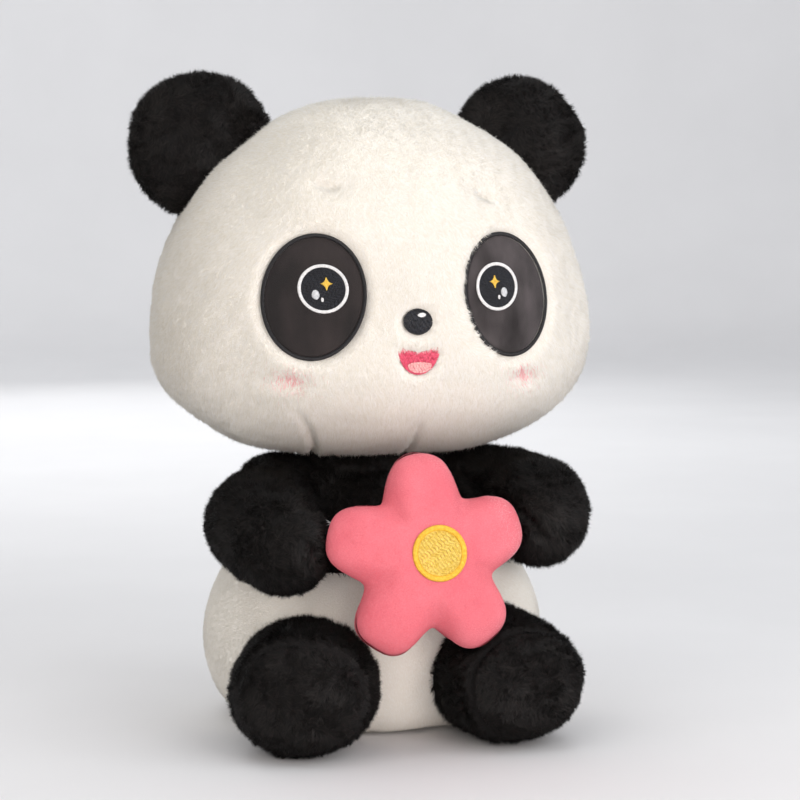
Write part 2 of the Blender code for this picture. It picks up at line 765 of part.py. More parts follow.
def flower_height(x, z, shrink=0.0):
    """Half thickness of the flower at a place in its own plane."""
    turn = atan2(z, x)
    rim = petal_reach(turn, PETAL_TIP, PETAL_VALLEY) - shrink
    out = min(1.0, sqrt(x**2 + z**2) / rim)
    dimple = FLOWER_DIMPLE * max(0.0, 1 - out / 0.5) ** 2
    rim_half = SEAM if shrink == 0 else 0.0
    swell = (1 - out**2.4) ** 0.55
    return rim_half + (FLOWER_HALF_THICKNESS - shrink - rim_half) * swell - dimple


def flower_placement():
    """From the flower's own plane, facing -Y, to its place in the paws."""
    return Matrix.Translation(FLOWER_CENTRE) @ Matrix.Rotation(-FLOWER_TILT, 4, "X")


def flower_surface(sign, lift, shrink=0.0, centre=(0.0, 0.0)):
    """A function that lays a point of the flower's plane on its front (-1) or back (1)."""

    def place(x, z):
        across, up = centre[0] + x, centre[1] + z
        return Vector((across, sign * (flower_height(across, up, shrink) + lift), up))

    return place


def add_flower():
    """Front and back panels, filling, and the embroidered middle with its border."""
    pivot = pivot_empty("flower_pivot", FLOWER_PIVOT, RIGHT_SHOULDER)
    for sign, name in ((-1, "flower_front"), (1, "flower_back")):
        mesh = rings_on(flower_surface(sign, 0.0), flower_rim(0), FLOWER_SHARES)
        mesh.transform(flower_placement())
        thicken(piece(name, mesh, "flower_velvet", pivot, FLOWER_CENTRE), CLOTH)
    rim = flower_rim(FLOWER_LINING)
    mesh = rings_on(flower_surface(-1, 0.0, FLOWER_LINING), rim, FLOWER_SHARES)
    append(mesh, rings_on(flower_surface(1, 0.0, FLOWER_LINING), rim, FLOWER_SHARES))
    bmesh.ops.remove_doubles(mesh, verts=mesh.verts, dist=0.00001)
    mesh.transform(flower_placement())
    piece("flower_stuffing", mesh, "fibre_filling", pivot, FLOWER_CENTRE)
    inner = DISC_RADIUS + GAP
    outer = inner + DISC_BORDER_WIDTH
    rows = (
        ("flower_disc", "yellow_thread", DISC_RADIUS, (0, 0.5, 1.0), APPLIQUE),
        ("flower_disc_border", "gold_thread", outer, (inner / outer, 1.0), APPLIQUE + THREAD),
    )
    surface = flower_surface(-1, DISC_LIFT, centre=DISC_CENTRE)
    for name, paint, radius, shares, thickness in rows:
        mesh = rings_on(surface, ellipse(radius, radius, 14), shares)
        mesh.transform(flower_placement())
        thicken(piece(name, mesh, paint, pivot, FLOWER_CENTRE), thickness, inward=False)


def add_paw_stitch(side, word, pivot):
    """The white thread that tacks a petal to a paw."""
    middle = mirrored(PAW_STITCH, side)
    run = Vector((PAW_STITCH_HALF_LENGTH, 0, 0))
    piece(f"paw_stitch_{word}", thread_bar(middle, run), "white_thread", pivot, middle)


# Assembly --------------------------------------------------------------------

SIDES = ((-1, "right"), (1, "left"))

clear_scene()
PARTS = make_collection("plush_panda")
CUTTERS = make_collection("cutters")

TORSO = pivot_empty("torso_frame", Vector((0, 0, 0)))
NECK_PIVOT = pivot_empty("neck_pivot", NECK_BALL, TORSO)
HEAD_PIVOT = pivot_empty("head_pivot", NECK_BALL, NECK_PIVOT)

NECK_CUTTER = cutter("neck_space", neck_ball(NECK_BALL_RADIUS + 2 * SWEEP_CLEARANCE))
HEAD_CUTTER = cutter("head_space", head_mesh(-EAR_CLEARANCE))
sweeps = [leg_sweep(-1, "right", RIGHT_LEG_YAW), leg_sweep(1, "left", LEFT_LEG_YAW)]
sweeps += [arm_sweep(side, word) for side, word in SIDES]

add_body(sweeps)
add_neck()
add_head_panels()
add_head_stuffing()
add_muzzle()
for side, word in SIDES:
    add_patch(side, word)
    add_eye(side, word)
    add_brow_stitch(side, word)
    add_ear(side, word)
add_leg(-1, "right", RIGHT_LEG_YAW)
add_leg(1, "left", LEFT_LEG_YAW)
RIGHT_SHOULDER = add_arm(-1, "right")
LEFT_SHOULDER = add_arm(1, "left")
add_flower()
add_paw_stitch(-1, "right", RIGHT_SHOULDER)
add_paw_stitch(1, "left", LEFT_SHOULDER)
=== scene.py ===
"""Looks of a seated plush panda that holds a puffy five-petal flower.

Every panel is a dense stuffed surface that carries its own strands of pile, and the embroidery is laid
thread by thread. Metres, +Z up, the face looks towards -Y and the panda's right side is at -X.
"""

from math import cos, pi, radians, sin, sqrt

import bmesh
import bpy
import numpy as np
from mathutils import Matrix, Vector


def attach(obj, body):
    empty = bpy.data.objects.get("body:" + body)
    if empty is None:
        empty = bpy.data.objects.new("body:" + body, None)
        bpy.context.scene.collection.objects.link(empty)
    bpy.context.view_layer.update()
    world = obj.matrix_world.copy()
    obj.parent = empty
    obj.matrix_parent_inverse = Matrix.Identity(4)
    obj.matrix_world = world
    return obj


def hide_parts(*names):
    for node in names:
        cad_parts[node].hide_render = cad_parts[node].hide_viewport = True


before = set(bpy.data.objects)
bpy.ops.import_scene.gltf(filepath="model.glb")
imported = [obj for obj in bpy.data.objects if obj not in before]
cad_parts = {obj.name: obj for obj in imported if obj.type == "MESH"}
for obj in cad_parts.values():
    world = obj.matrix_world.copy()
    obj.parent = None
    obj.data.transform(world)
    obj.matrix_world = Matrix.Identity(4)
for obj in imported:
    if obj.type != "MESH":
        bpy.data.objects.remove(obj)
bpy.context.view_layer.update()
SIDES = ((-1, "right"), (1, "left"))

# Head, as in the part: the cloth backing that the pile grows from
HEAD_HALF = np.array([0.168, 0.119])
HEAD_LEVEL, HEAD_RISE, HEAD_DROP, HEAD_SQUARENESS = 0.299, 0.178, 0.086, 2.4
NECK_BALL_HEIGHT, NECK_BALL_RADIUS = 0.203, 0.0395
NECK_ROLL_MIDDLE, NECK_ROLL_HALF = (0.0470, 0.2005), (0.0080, 0.0075)
PATCH_CENTRES = {-1: (-0.0716, 0.334), 1: (0.0752, 0.334)}
PATCH_HALF, PATCH_LEAN = (0.0362, 0.0462), radians(11)
PATCH_BORDER = 0.0028
EYE_CENTRE, EYE_RADIUS, EYE_RING = (0.0655, 0.340), 0.0154, 0.0022
STAR_OFFSET, STAR_HALF = (0.0022, 0.0036), (0.0046, 0.0064)
LARGE_GLINT, SMALL_GLINT = (-0.0055, -0.0042), (-0.0010, -0.0078)
LARGE_HALF, SMALL_HALF = (0.0029, 0.0034), (0.0011, 0.0017)
NOSE_CENTRE, NOSE_HALF = (0.0020, 0.3160), (0.0110, 0.0096)
NOSE_GLINT = (0.0022, 0.0048)
MOUTH_CENTRE, MOUTH_HALF_WIDTH = (0.0025, 0.2885), 0.0165
MOUTH_CORNER, MOUTH_TOP, MOUTH_DEPTH = 0.0110, 0.0055, 0.0112
TONGUE_CENTRE, TONGUE_HALF = (0.0032, 0.2822), (0.0092, 0.0046)
BROW_STITCH, BROW_HALF_LENGTH = (0.0565, 0.4115), 0.0045

# Soft dents in the head (place, reach each way, depth) over the eyes and on the cheeks, and creases (start
# and end in the x-z plane, width, depth) at the brows, the chin seam and the dart beside it
CHEEK_DENT = ((0.0130, 0.02, 0.0060), 0.0042)
HEAD_DENTS = (
    ((-0.0530, -0.0900, 0.4140), (0.0150, 0.02, 0.0070), 0.0028),
    ((0.0620, -0.0880, 0.4095), (0.0145, 0.02, 0.0075), 0.0028),
    ((-0.0900, -0.1010, 0.2740), *CHEEK_DENT),
    ((0.0900, -0.1010, 0.2740), *CHEEK_DENT),
)
HEAD_CREASES = (
    ((-0.0690, 0.4160), (-0.0515, 0.4122), 0.0020, 0.0046),
    ((0.0740, 0.4015), (0.0590, 0.4100), 0.0020, 0.0046),
    ((0.0060, 0.260), (0.0135, 0.207), 0.0016, 0.0030),
    ((-0.0880, 0.262), (-0.0470, 0.207), 0.0016, 0.0036),
)
HEAD_SEAM_WIDTH, HEAD_SEAM_DEPTH = 0.004, 0.0012
CHEEK_BLUSH = (0.0900, 0.2745)

# Embroidery: thread radii, rows of stitches as (spacing, stitch length, arch, slant, seed), satin rings as
# (arch, spacing), and how far each layer stands off the head's backing
BORDER_YARN, IRIS_YARN, MARK_YARN, MOUTH_YARN = 0.00040, 0.00034, 0.00032, 0.00036
BROW_YARN, DISC_YARN, THREAD_SIDES, THREAD_TAPER = 0.00030, 0.00038, 5, 0.35
IRIS_ROWS = (0.00050, 0.0030, 0.0002, 0.5, 3)
MARK_ROWS = (0.00045, 0.02, 0.0004)
NOSE_ROWS = (0.00050, 0.0045, 0.0002, 1.35, 5)
NOSE_GLINT_ROWS = (*MARK_ROWS, -0.35, 6)
MOUTH_ROWS = (0.00048, 0.0050, 0.0003, 1.45, 7)
TONGUE_ROWS = (0.00048, 0.0022, 0.0003, 0.1, 8)
DISC_ROWS = (0.00055, 0.0026, 0.0003, 0.6, 9)
PATCH_SATIN, EYE_SATIN, DISC_SATIN = (0.0011, 0.00062), (0.0008, 0.00052), (0.0014, 0.00058)
PATCH_LEVEL, BORDER_LEVEL, EYE_LEVEL = 0.0022, 0.0024, 0.0036

# Ears, body, limbs and flower, as in the part
EAR_CENTRE, EAR_RADIUS, EAR_HALF_THICKNESS = (0.130, 0.018, 0.4495), 0.046, 0.015
EAR_SWELL = {"right": 0.0090, "left": 0.0070}
EAR_SHIFT = {"right": (-0.0005, -0.0035), "left": (-0.0030, -0.0030)}
BODY_DEPTH = 0.83
BELLY_LINE = (
    (0.0880, 0.0010),
    (0.1010, 0.0030),
    (0.1120, 0.0085),
    (0.1232, 0.0225),
    (0.1306, 0.0450),
    (0.1322, 0.0705),
    (0.1272, 0.0985),
    (0.1150, 0.1262),
)
YOKE_LINE = ((0.1150, 0.1262), (0.1015, 0.1520), (0.0850, 0.1745), (0.0690, 0.1900), (0.0530, 0.1995))
SEAT_LINE = ((0.0, 0.0002), (0.0885, 0.0002), (0.0891, 0.0010), (0.0885, 0.0018), (0.0, 0.0018))
HIP, LEG_RADIUS = (0.062, -0.050, 0.050), 0.0440
LEG_SPREAD, LEG_SETTLE = 0.07, 0.0055
LEG_YAW = {"right": radians(18), "left": radians(8)}
SOLE_SEAM_DEPTH, SOLE_SEAM_PLACE, LEG_COLUMNS = 0.0135, 0.1046, 150
LEG_TUBE = (
    (0.0004, 0.020),
    (0.0012, 0.050),
    (0.0012, 0.078),
    (-0.0004, 0.0955),
    (-0.0040, 0.1014),
    (-0.0100, 0.1034),
    (-SOLE_SEAM_DEPTH, SOLE_SEAM_PLACE),
    (-0.0100, 0.1060),
    (-0.0062, 0.1095),
    (-0.0100, 0.1145),
)
SOLE_MIDDLE = ((0.0300, 0.1180), (0.0160, 0.1198), (0.0, 0.1204))
SHOULDER = np.array([0.0, -0.004, 0.172])
ARM_PATH = ((0.050, 0.010, 0.170), (0.094, -0.012, 0.178), (0.136, -0.104, 0.142), (0.073, -0.130, 0.161))
ARM_RADIUS, ARM_COLUMNS = 0.0350, 130
PAW_SHARE, PAW_SEAM_WIDTH, PAW_SEAM_DEPTH, PAW_SWELL = 0.75, 0.0035, 0.0045, 0.0016
ARM_FOLDS = {"right": [((-0.118, 0.200), (-0.078, 0.180))], "left": [((0.100, 0.146), (0.062, 0.192))]}
ARM_FOLD = (0.0035, 0.0065)
ARM_RAISE = {"right": 0.0, "left": radians(8)}
BURIED = 0.010
FLOWER_CENTRE, FLOWER_TILT = (0.0, -0.149, 0.1455), radians(10)
PETALS, FIRST_PETAL, PETAL_TIP, PETAL_VALLEY, PETAL_FULLNESS = 5, radians(20), 0.0745, 0.0490, 1.9
PETAL_CHANNEL = 0.0030
FLOWER_HALF_THICKNESS, FLOWER_DIMPLE = 0.0255, 0.0050
DISC_CENTRE, DISC_RADIUS, DISC_BORDER = (0.0025, 0.0030), 0.0165, 0.0040
PAW_STITCH = (0.0655, -0.1290, 0.1710)

# How far the dense base of each pile stands off its backing
HEAD_BASE, EAR_BASE, LEG_BASE, ARM_BASE, FLOWER_BASE = 0.0044, 0.0046, 0.0034, 0.0020, 0.0016
GROUND = 0.0006

# Strands of each pile: length, width at the root, roots per square metre, how far they lie over, how
# strongly neighbours clump and stray, how much each catches the light on its own, and whether it is opaque:
# light goes on through white fibres, so they cast no shadow on each other
PILE_TERMS = ("length", "width", "density", "lie", "clump", "stray", "gloss", "opaque")
LONG_WHITE = dict(zip(PILE_TERMS, (0.0052, 0.0006, 1.6e6, 0.80, 0.20, 0.24, 0.05, False)))
LONG_BLACK = dict(zip(PILE_TERMS, (0.0064, 0.0006, 1.75e6, 0.60, 0.50, 0.24, 0.9, True)))
SHORT_WHITE = dict(zip(PILE_TERMS, (0.0028, 0.0005, 1.45e6, 0.80, 0.10, 0.20, 0.15, False)))
VELVET = dict(zip(PILE_TERMS, (0.0011, 0.0004, 4.5e6, 0.80, 0.10, 0.25, 0.15, True)))
ROOT_DEPTH, SHORTEST, LONGEST, UPRIGHT, BARE = 0.0004, 0.72, 1.12, 0.55, 0.05

# The section of the floor and wall, and the lights as (name, place, target, size, power, colour): a window at
# the front right, a warm fill at the left, and soft light from all round
STAGE_LINE = ((0.0, 0.0), (1.5, 0.0), (3.0, 0.0), (3.7, 0.15), (4.1, 0.8), (4.2, 1.8), (4.2, 2.8))
LIGHTS = (
    ("window", (1.4, -1.7, 1.4), (0, 0, 0.25), 2.4, 25, (0.97, 0.985, 1.0)),
    ("fill", (-1.8, -1.4, 0.9), (0, 0, 0.2), 2.2, 17, (1.0, 0.92, 0.83)),
    ("front", (0.0, -2.4, 0.9), (0, 0, 0.2), 2.0, 6, (1.0, 0.98, 0.95)),
    ("bounce", (0.2, -1.3, 0.12), (0, 0, 0.24), 1.0, 9, (1.0, 0.87, 0.82)),
    ("top", (0.0, 0.3, 2.3), (0, 0, 0.3), 2.6, 24, (1.0, 1.0, 1.0)),
    ("back", (0.0, 2.4, 1.3), (0, 0, 0.25), 2.0, 10, (1.0, 1.0, 1.0)),
    ("wall", (0.0, 1.6, 2.2), (0, 4.2, 0.9), 2.0, 28, (1.0, 1.0, 1.0)),
)

# A strand is a thin three-sided spike, and one piece holds only so many
STRAND_CORNERS = ((1.0, 0.0), (-0.5, 0.87), (-0.5, -0.87))
STRAND_FACES = np.array([0, 1, 3, 1, 2, 3, 2, 0, 3])
MOST_STRANDS = 60000


# Numbers on arrays of points ---------------------------------------------------


def unit(rows):
    """Each row scaled to length 1."""
    return rows / np.maximum(np.linalg.norm(rows, axis=-1, keepdims=True), 1e-12)


def ease(low, high, values):
    """0 below low, 1 above high, smooth between."""
    share = np.clip((values - low) / (high - low), 0, 1)
    return share * share * (3 - 2 * share)


def along_surface(direction, normals):
    """The part of a direction that lies in the surface."""
    direction = np.broadcast_to(direction, normals.shape)
    return direction - (direction * normals).sum(1, keepdims=True) * normals


def waves(points, seed, size, count=18):
    """A smooth random vector for each point, whose features are about size across."""
    draw = np.random.default_rng(seed)
    field = np.zeros_like(points)
    for _ in range(count):
        run = unit(draw.normal(size=3)) * 2 * pi / (size * draw.uniform(0.7, 1.5))
        field += np.sin(points @ run + draw.uniform(0, 2 * pi))[:, None] * draw.normal(size=3)
    return field * sqrt(2 / count)


def smooth_line(corners, count):
    """Points spread along a smooth curve through the corners."""
    corners = np.array(corners, float)
    padded = np.concatenate([2 * corners[:1] - corners[1:2], corners, 2 * corners[-1:] - corners[-2:-1]])
    place = np.linspace(0, len(corners) - 1 - 1e-9, count)
    index = place.astype(int)
    t = (place - index)[:, None]
    a, b, c, d = (padded[index + step] for step in range(4))
    return 0.5 * (2 * b + (c - a) * t + (2 * a - 5 * b + 4 * c - d) * t**2 + (3 * b - a - 3 * c + d) * t**3)


class Shell:
    """A dense surface of quads, with outward normals and a length factor for the pile at each point."""

    def __init__(self, points, quads, normals=None):
        self.points = points
        self.quads = quads
        self.normals = self.found_normals() if normals is None else normals
        self.growth = np.ones(len(points))

    def found_normals(self):
        """Normals from the quads' diagonals, summed where points coincide."""
        corners = self.points[self.quads]
        across = np.cross(corners[:, 2] - corners[:, 0], corners[:, 3] - corners[:, 1])
        _, same = np.unique(np.round(self.points, 7), axis=0, return_inverse=True)
        same = same.reshape(-1)
        total = np.zeros((same.max() + 1, 3))
        for corner in range(4):
            np.add.at(total, same[self.quads[:, corner]], across)
        return unit(total)[same]

    def moved(self, distance):
        """The same surface moved out along its normals."""
        made = Shell(self.points + np.reshape(distance, (-1, 1)) * self.normals, self.quads)
        made.growth = self.growth
        return made

    def part(self, chosen):
        """The quads that chosen picks, on their own."""
        quads = self.quads[chosen]
        used, index = np.unique(quads, return_inverse=True)
        made = Shell(self.points[used], index.reshape(quads.shape), self.normals[used])
        made.growth = self.growth[used]
        return made

    def placed(self, matrix):
        """The same surface under a rigid move."""
        matrix = np.array(matrix)
        made = Shell(
            self.points @ matrix[:3, :3].T + matrix[:3, 3], self.quads, self.normals @ matrix[:3, :3].T
        )
        made.growth = self.growth
        return made


def sheet_of(rows, columns, wraps):
    """The quads of a grid of points. It closes on itself across the columns if it wraps."""
    across = columns if wraps else columns - 1
    row, column = np.meshgrid(np.arange(rows - 1), np.arange(across), indexing="ij")
    beside = (column + 1) % columns
    low, high = row * columns, (row + 1) * columns
    corners = (low + column, low + beside, high + beside, high + column)
    return np.stack([corner.reshape(-1) for corner in corners], axis=1)


def turned(line, columns, depth=1.0):
    """(radius, height) pairs turned round Z from the bottom up, and squeezed along Y."""
    line = np.asarray(line)
    turn = 2 * pi * np.arange(columns) / columns
    x = line[:, :1] * np.cos(turn)
    y = line[:, :1] * np.sin(turn) * depth
    z = np.broadcast_to(line[:, 1:], x.shape)
    return Shell(np.stack([x, y, z], axis=2).reshape(-1, 3), sheet_of(len(line), columns, True))


# Meshes ------------------------------------------------------------------------


def object_of(name, points, sizes, corners, paints, body):
    """A mesh object from flat arrays, which rides on a body."""
    mesh = bpy.data.meshes.new(name)
    mesh.vertices.add(len(points))
    mesh.vertices.foreach_set("co", np.ascontiguousarray(points, np.float32).reshape(-1))
    mesh.loops.add(len(corners))
    mesh.loops.foreach_set("vertex_index", np.ascontiguousarray(corners, np.int32))
    mesh.polygons.add(len(sizes))
    starts = np.concatenate([[0], np.cumsum(sizes)[:-1]])
    mesh.polygons.foreach_set("loop_start", starts.astype(np.int32))
    for paint in paints:
        mesh.materials.append(paint)
    mesh.update(calc_edges=True)
    mesh.shade_smooth()
    made = bpy.data.objects.new(name, mesh)
    bpy.context.scene.collection.objects.link(made)
    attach(made, body)
    return made


def add_cloth(name, shell, paint, body, stands_for=()):
    """The base of a panel, with coincident points joined."""
    corners = shell.quads.reshape(-1)
    made = object_of(name, shell.points, np.full(len(shell.quads), 4), corners, [paint], body)
    joined = bmesh.new()
    joined.from_mesh(made.data)
    bmesh.ops.remove_doubles(joined, verts=joined.verts, dist=0.000002)
    joined.to_mesh(made.data)
    joined.free()
    made.data.shade_smooth()
    if stands_for:
        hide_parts(*stands_for)


def scattered(shell, density, draw):
    """Roots spread evenly over a shell: places, normals and length factors."""
    quads = shell.quads
    triangles = np.concatenate([quads[:, [0, 1, 2]], quads[:, [0, 2, 3]]])
    a, b, c = (shell.points[triangles[:, corner]] for corner in range(3))
    area = np.linalg.norm(np.cross(b - a, c - a), axis=1) / 2
    count = int(area.sum() * density)
    chosen = triangles[draw.choice(len(triangles), count, p=area / area.sum())]
    share = draw.random((count, 2))
    over = share.sum(1) > 1
    share[over] = 1 - share[over]
    weights = np.column_stack([1 - share.sum(1), share])
    places = (shell.points[chosen] * weights[:, :, None]).sum(1)
    normals = unit((shell.normals[chosen] * weights[:, :, None]).sum(1))
    growth = (shell.growth[chosen] * weights).sum(1)
    return places, normals, growth


def add_pile(name, shell, fur, body, seed, comb, tint=None, hidden=None):
    """Strands over a shell. comb gives the way they lie and tint the paint of each."""
    draw = np.random.default_rng(seed)
    pile = fur["pile"]
    roots, normals, growth = scattered(shell, pile["density"], draw)
    keep = growth > BARE
    if hidden is not None:
        keep &= ~hidden(roots)
    roots, normals, growth = roots[keep], normals[keep], growth[keep]
    count = len(roots)
    length = (pile["length"] * growth * draw.uniform(SHORTEST, LONGEST, count))[:, None]
    half_width = pile["width"] / 2
    clump = waves(roots, seed + 1, 0.016) * 0.6 + waves(roots, seed + 2, 0.005) * 0.55
    stray = pile["stray"] * draw.normal(size=(count, 3)) * draw.exponential(0.9, (count, 1))
    lean = along_surface(pile["lie"] * unit(comb(roots, normals)) + pile["clump"] * clump + stray, normals)
    way = unit(UPRIGHT * normals + lean)
    beside = unit(np.cross(way, normals)) * half_width
    above = np.cross(way, beside)
    start = roots - normals * ROOT_DEPTH
    corners = [start + across * beside + up * above for across, up in STRAND_CORNERS]
    points = np.stack([*corners, start + way * length], axis=1)
    points[:, :, 2] = np.maximum(points[:, :, 2], GROUND)
    facing = unit(normals + pile["gloss"] * unit(normals - (normals * way).sum(1, keepdims=True) * way))
    picked = draw.integers(0, 3, count) if tint is None else tint(roots, draw)
    pieces = count // MOST_STRANDS + 1
    for piece, chosen in enumerate(np.array_split(np.arange(count), pieces)):
        part_name = name if pieces == 1 else f"{name}_{piece + 1}"
        corners = (4 * np.arange(len(chosen))[:, None] + STRAND_FACES).reshape(-1)
        sizes = np.full(3 * len(chosen), 3)
        strands = points[chosen].reshape(-1, 3)
        made = object_of(part_name, strands, sizes, corners, fur["tints"], body)
        made.data.polygons.foreach_set("material_index", np.repeat(picked[chosen], 3).astype(np.int32))
        made.data.normals_split_custom_set_from_vertices(np.repeat(facing[chosen], 4, axis=0))
        made.visible_shadow = pile["opaque"]
        made.shadow_terminator_geometry_offset = 0


def add_fur(name, ending, shell, fur, body, stands_for, seed, comb, tint=None, hidden=None):
    """The padded cloth of one panel and the pile that grows on it."""
    add_cloth(f"{name}_cloth{ending}", shell, fur["base"], body, stands_for)
    add_pile(f"{name}_pile{ending}", shell, fur, body, seed, comb, tint, hidden)


def add_black_panels(part, side, word, panels, first_seed, comb, hidden):
    """The two panels of an ear or a limb, as (name, node, shell). The first also stands for the filling."""
    body = f"{part}_{word}"
    for row, (name, node, shell) in enumerate(panels):
        filling = (f"{part}_stuffing_{word}",) if row == 0 else ()
        stands_for = (f"{node}_{word}", *filling)
        seed = first_seed + 10 * row + side
        add_fur(name, f"_{word}", shell, BLACK_FUR, body, stands_for, seed, comb, hidden=hidden)


def add_threads(name, threads, radius, paints, body, stands_for):
    """Round threads, from each one's points and the way that is up for it."""
    lines, ups = (np.asarray(part, float) for part in threads)
    count, steps = lines.shape[:2]
    ahead = unit(np.gradient(lines, axis=1))
    beside = unit(np.cross(ahead, np.broadcast_to(ups[:, None], lines.shape)))
    above = np.cross(beside, ahead)
    thick = np.full(steps, radius)
    thick[[0, -1]] = radius * THREAD_TAPER
    rings = []
    for side in range(THREAD_SIDES):
        turn = 2 * pi * side / THREAD_SIDES
        rings.append(lines + thick[None, :, None] * (cos(turn) * beside + sin(turn) * above))
    points = np.stack(rings, axis=2).reshape(-1, 3)
    quads = sheet_of(steps, THREAD_SIDES, True)
    first = (np.arange(count) * steps * THREAD_SIDES)[:, None, None]
    walls = (first + quads[None]).reshape(-1)
    rim = np.arange(THREAD_SIDES)
    ends = np.concatenate([rim[::-1], rim + (steps - 1) * THREAD_SIDES])
    caps = (first[:, :, 0] + ends[None]).reshape(-1)
    sizes = np.concatenate([np.full(count * len(quads), 4), np.full(count * 2, THREAD_SIDES)])
    made = object_of(name, points, sizes, np.concatenate([walls, caps]), paints, body)
    if len(paints) > 1:
        tone = np.random.default_rng(len(points)).integers(0, len(paints), count)
        order = np.concatenate([np.repeat(tone, len(quads)), np.repeat(tone, 2)])
        made.data.polygons.foreach_set("material_index", order.astype(np.int32))
    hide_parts(*stands_for)


# Materials ---------------------------------------------------------------------


class Nodes:
    """A small helper that builds one material's node tree."""

    def __init__(self, name, roughness, sheen=0.0, sheen_tint=(1, 1, 1)):
        self.material = bpy.data.materials.new(name)
        self.material.use_nodes = True
        self.tree = self.material.node_tree
        self.shader = self.tree.nodes["Principled BSDF"]
        self.shader.inputs["Roughness"].default_value = roughness
        self.shader.inputs["Specular IOR Level"].default_value = 0.3
        self.shader.inputs["Sheen Weight"].default_value = sheen
        self.shader.inputs["Sheen Roughness"].default_value = 0.45
        self.shader.inputs["Sheen Tint"].default_value = (*sheen_tint, 1)
        self.places = self.tree.nodes.new("ShaderNodeTexCoord").outputs["Object"]

    def noise(self, scale, detail=3.0, roughness=0.55, stretch=None):
        """A noise value between 0 and 1 over the object's own space."""
        made = self.tree.nodes.new("ShaderNodeTexNoise")
        made.inputs["Scale"].default_value = scale
        made.inputs["Detail"].default_value = detail
        made.inputs["Roughness"].default_value = roughness
        source = self.places
        if stretch:
            mapping = self.tree.nodes.new("ShaderNodeMapping")
            mapping.inputs["Scale"].default_value = stretch
            self.tree.links.new(self.places, mapping.inputs["Vector"])
            source = mapping.outputs["Vector"]
        self.tree.links.new(source, made.inputs["Vector"])
        return made.outputs["Fac"]

    def blend(self, value, stops):
        """A colour ramp over a value, from (place, colour) stops."""
        ramp = self.tree.nodes.new("ShaderNodeValToRGB")
        elements = ramp.color_ramp.elements
        while len(elements) < len(stops):
            elements.new(0.5)
        for element, (place, colour) in zip(elements, stops):
            element.position = place
            element.color = (*colour, 1)
        self.tree.links.new(value, ramp.inputs["Fac"])
        return ramp.outputs["Color"]

    def mixed(self, first, second, share):
        """Two colours mixed by a value."""
        mix = self.tree.nodes.new("ShaderNodeMix")
        mix.data_type = "RGBA"
        for value, socket in ((share, mix.inputs[0]), (first, mix.inputs[6]), (second, mix.inputs[7])):
            self.tree.links.new(value, socket)
        return mix.outputs[2]

    def rough(self, value, low, high):
        """Roughness from a value."""
        span = self.tree.nodes.new("ShaderNodeMapRange")
        span.inputs["To Min"].default_value = low
        span.inputs["To Max"].default_value = high
        self.tree.links.new(value, span.inputs["Value"])
        self.tree.links.new(span.outputs["Result"], self.shader.inputs["Roughness"])

    def bump(self, value, distance, strength=0.6):
        """Fine relief from a value."""
        node = self.tree.nodes.new("ShaderNodeBump")
        node.inputs["Strength"].default_value = strength
        node.inputs["Distance"].default_value = distance
        self.tree.links.new(value, node.inputs["Height"])
        self.tree.links.new(node.outputs["Normal"], self.shader.inputs["Normal"])

    def colour(self, source):
        """Send a colour to the shader."""
        self.tree.links.new(source, self.shader.inputs["Base Color"])


def pile_base(name, dark, light, sheen, bump=0.0012):
    """The dense underside of a pile: mottled in patches and fine grain."""
    made = Nodes(name, 0.95, sheen, light)
    patches = made.blend(made.noise(38.0), [(0.3, dark), (0.7, light)])
    fine = made.noise(950.0, 2.0)
    grain = made.blend(fine, [(0.3, dark), (0.7, light)])
    made.colour(made.mixed(patches, grain, made.noise(420.0, 2.0)))
    made.rough(fine, 0.85, 1.0)
    made.bump(fine, bump)
    return made.material


def strand_tints(name, colours, roughness, sheen=0.0, specular=0.3):
    """Plain strand paints. The variety comes from which strand takes which."""
    tints = []
    for index, colour in enumerate(colours):
        made = Nodes(f"{name}_{index + 1}", roughness, sheen, colour)
        made.shader.inputs["Base Color"].default_value = (*colour, 1)
        made.shader.inputs["Specular IOR Level"].default_value = specular
        tints.append(made.material)
    return tints


def velour(name, dark, light):
    """Short brushed velour with lighter strokes, which are painted sheen where the nap turns."""
    made = Nodes(name, 0.8, 0.55, (0.75, 0.68, 0.70))
    sheen_strokes = made.noise(34.0, 3.0, 0.5, (1.0, 1.0, 0.55))
    made.colour(made.blend(sheen_strokes, [(0.35, dark), (0.75, light)]))
    fine = made.noise(1500.0, 2.0)
    made.rough(fine, 0.7, 0.95)
    made.bump(fine, 0.0004)
    return made.material


def thread_paint(name, dark, light, roughness=0.42, sheen=0.15):
    """Shiny embroidery thread with a slight twist in tone."""
    made = Nodes(name, roughness, sheen, light)
    made.shader.inputs["Specular IOR Level"].default_value = 0.5
    tone = made.noise(520.0, 2.0)
    made.colour(made.blend(tone, [(0.3, dark), (0.7, light)]))
    made.bump(made.noise(3500.0, 1.0), 0.0001, 0.4)
    return made.material


def woven(name, dark, light):
    """Plain woven backing cloth."""
    made = Nodes(name, 0.9, 0.1, light)
    wave = made.tree.nodes.new("ShaderNodeTexWave")
    wave.inputs["Scale"].default_value = 420.0
    wave.inputs["Distortion"].default_value = 0.6
    made.tree.links.new(made.places, wave.inputs["Vector"])
    threads = made.blend(wave.outputs["Fac"], [(0.2, dark), (0.8, light)])
    patches = made.blend(made.noise(60.0), [(0.3, dark), (0.7, light)])
    made.colour(made.mixed(threads, patches, made.noise(300.0)))
    made.bump(wave.outputs["Fac"], 0.0004)
    return made.material


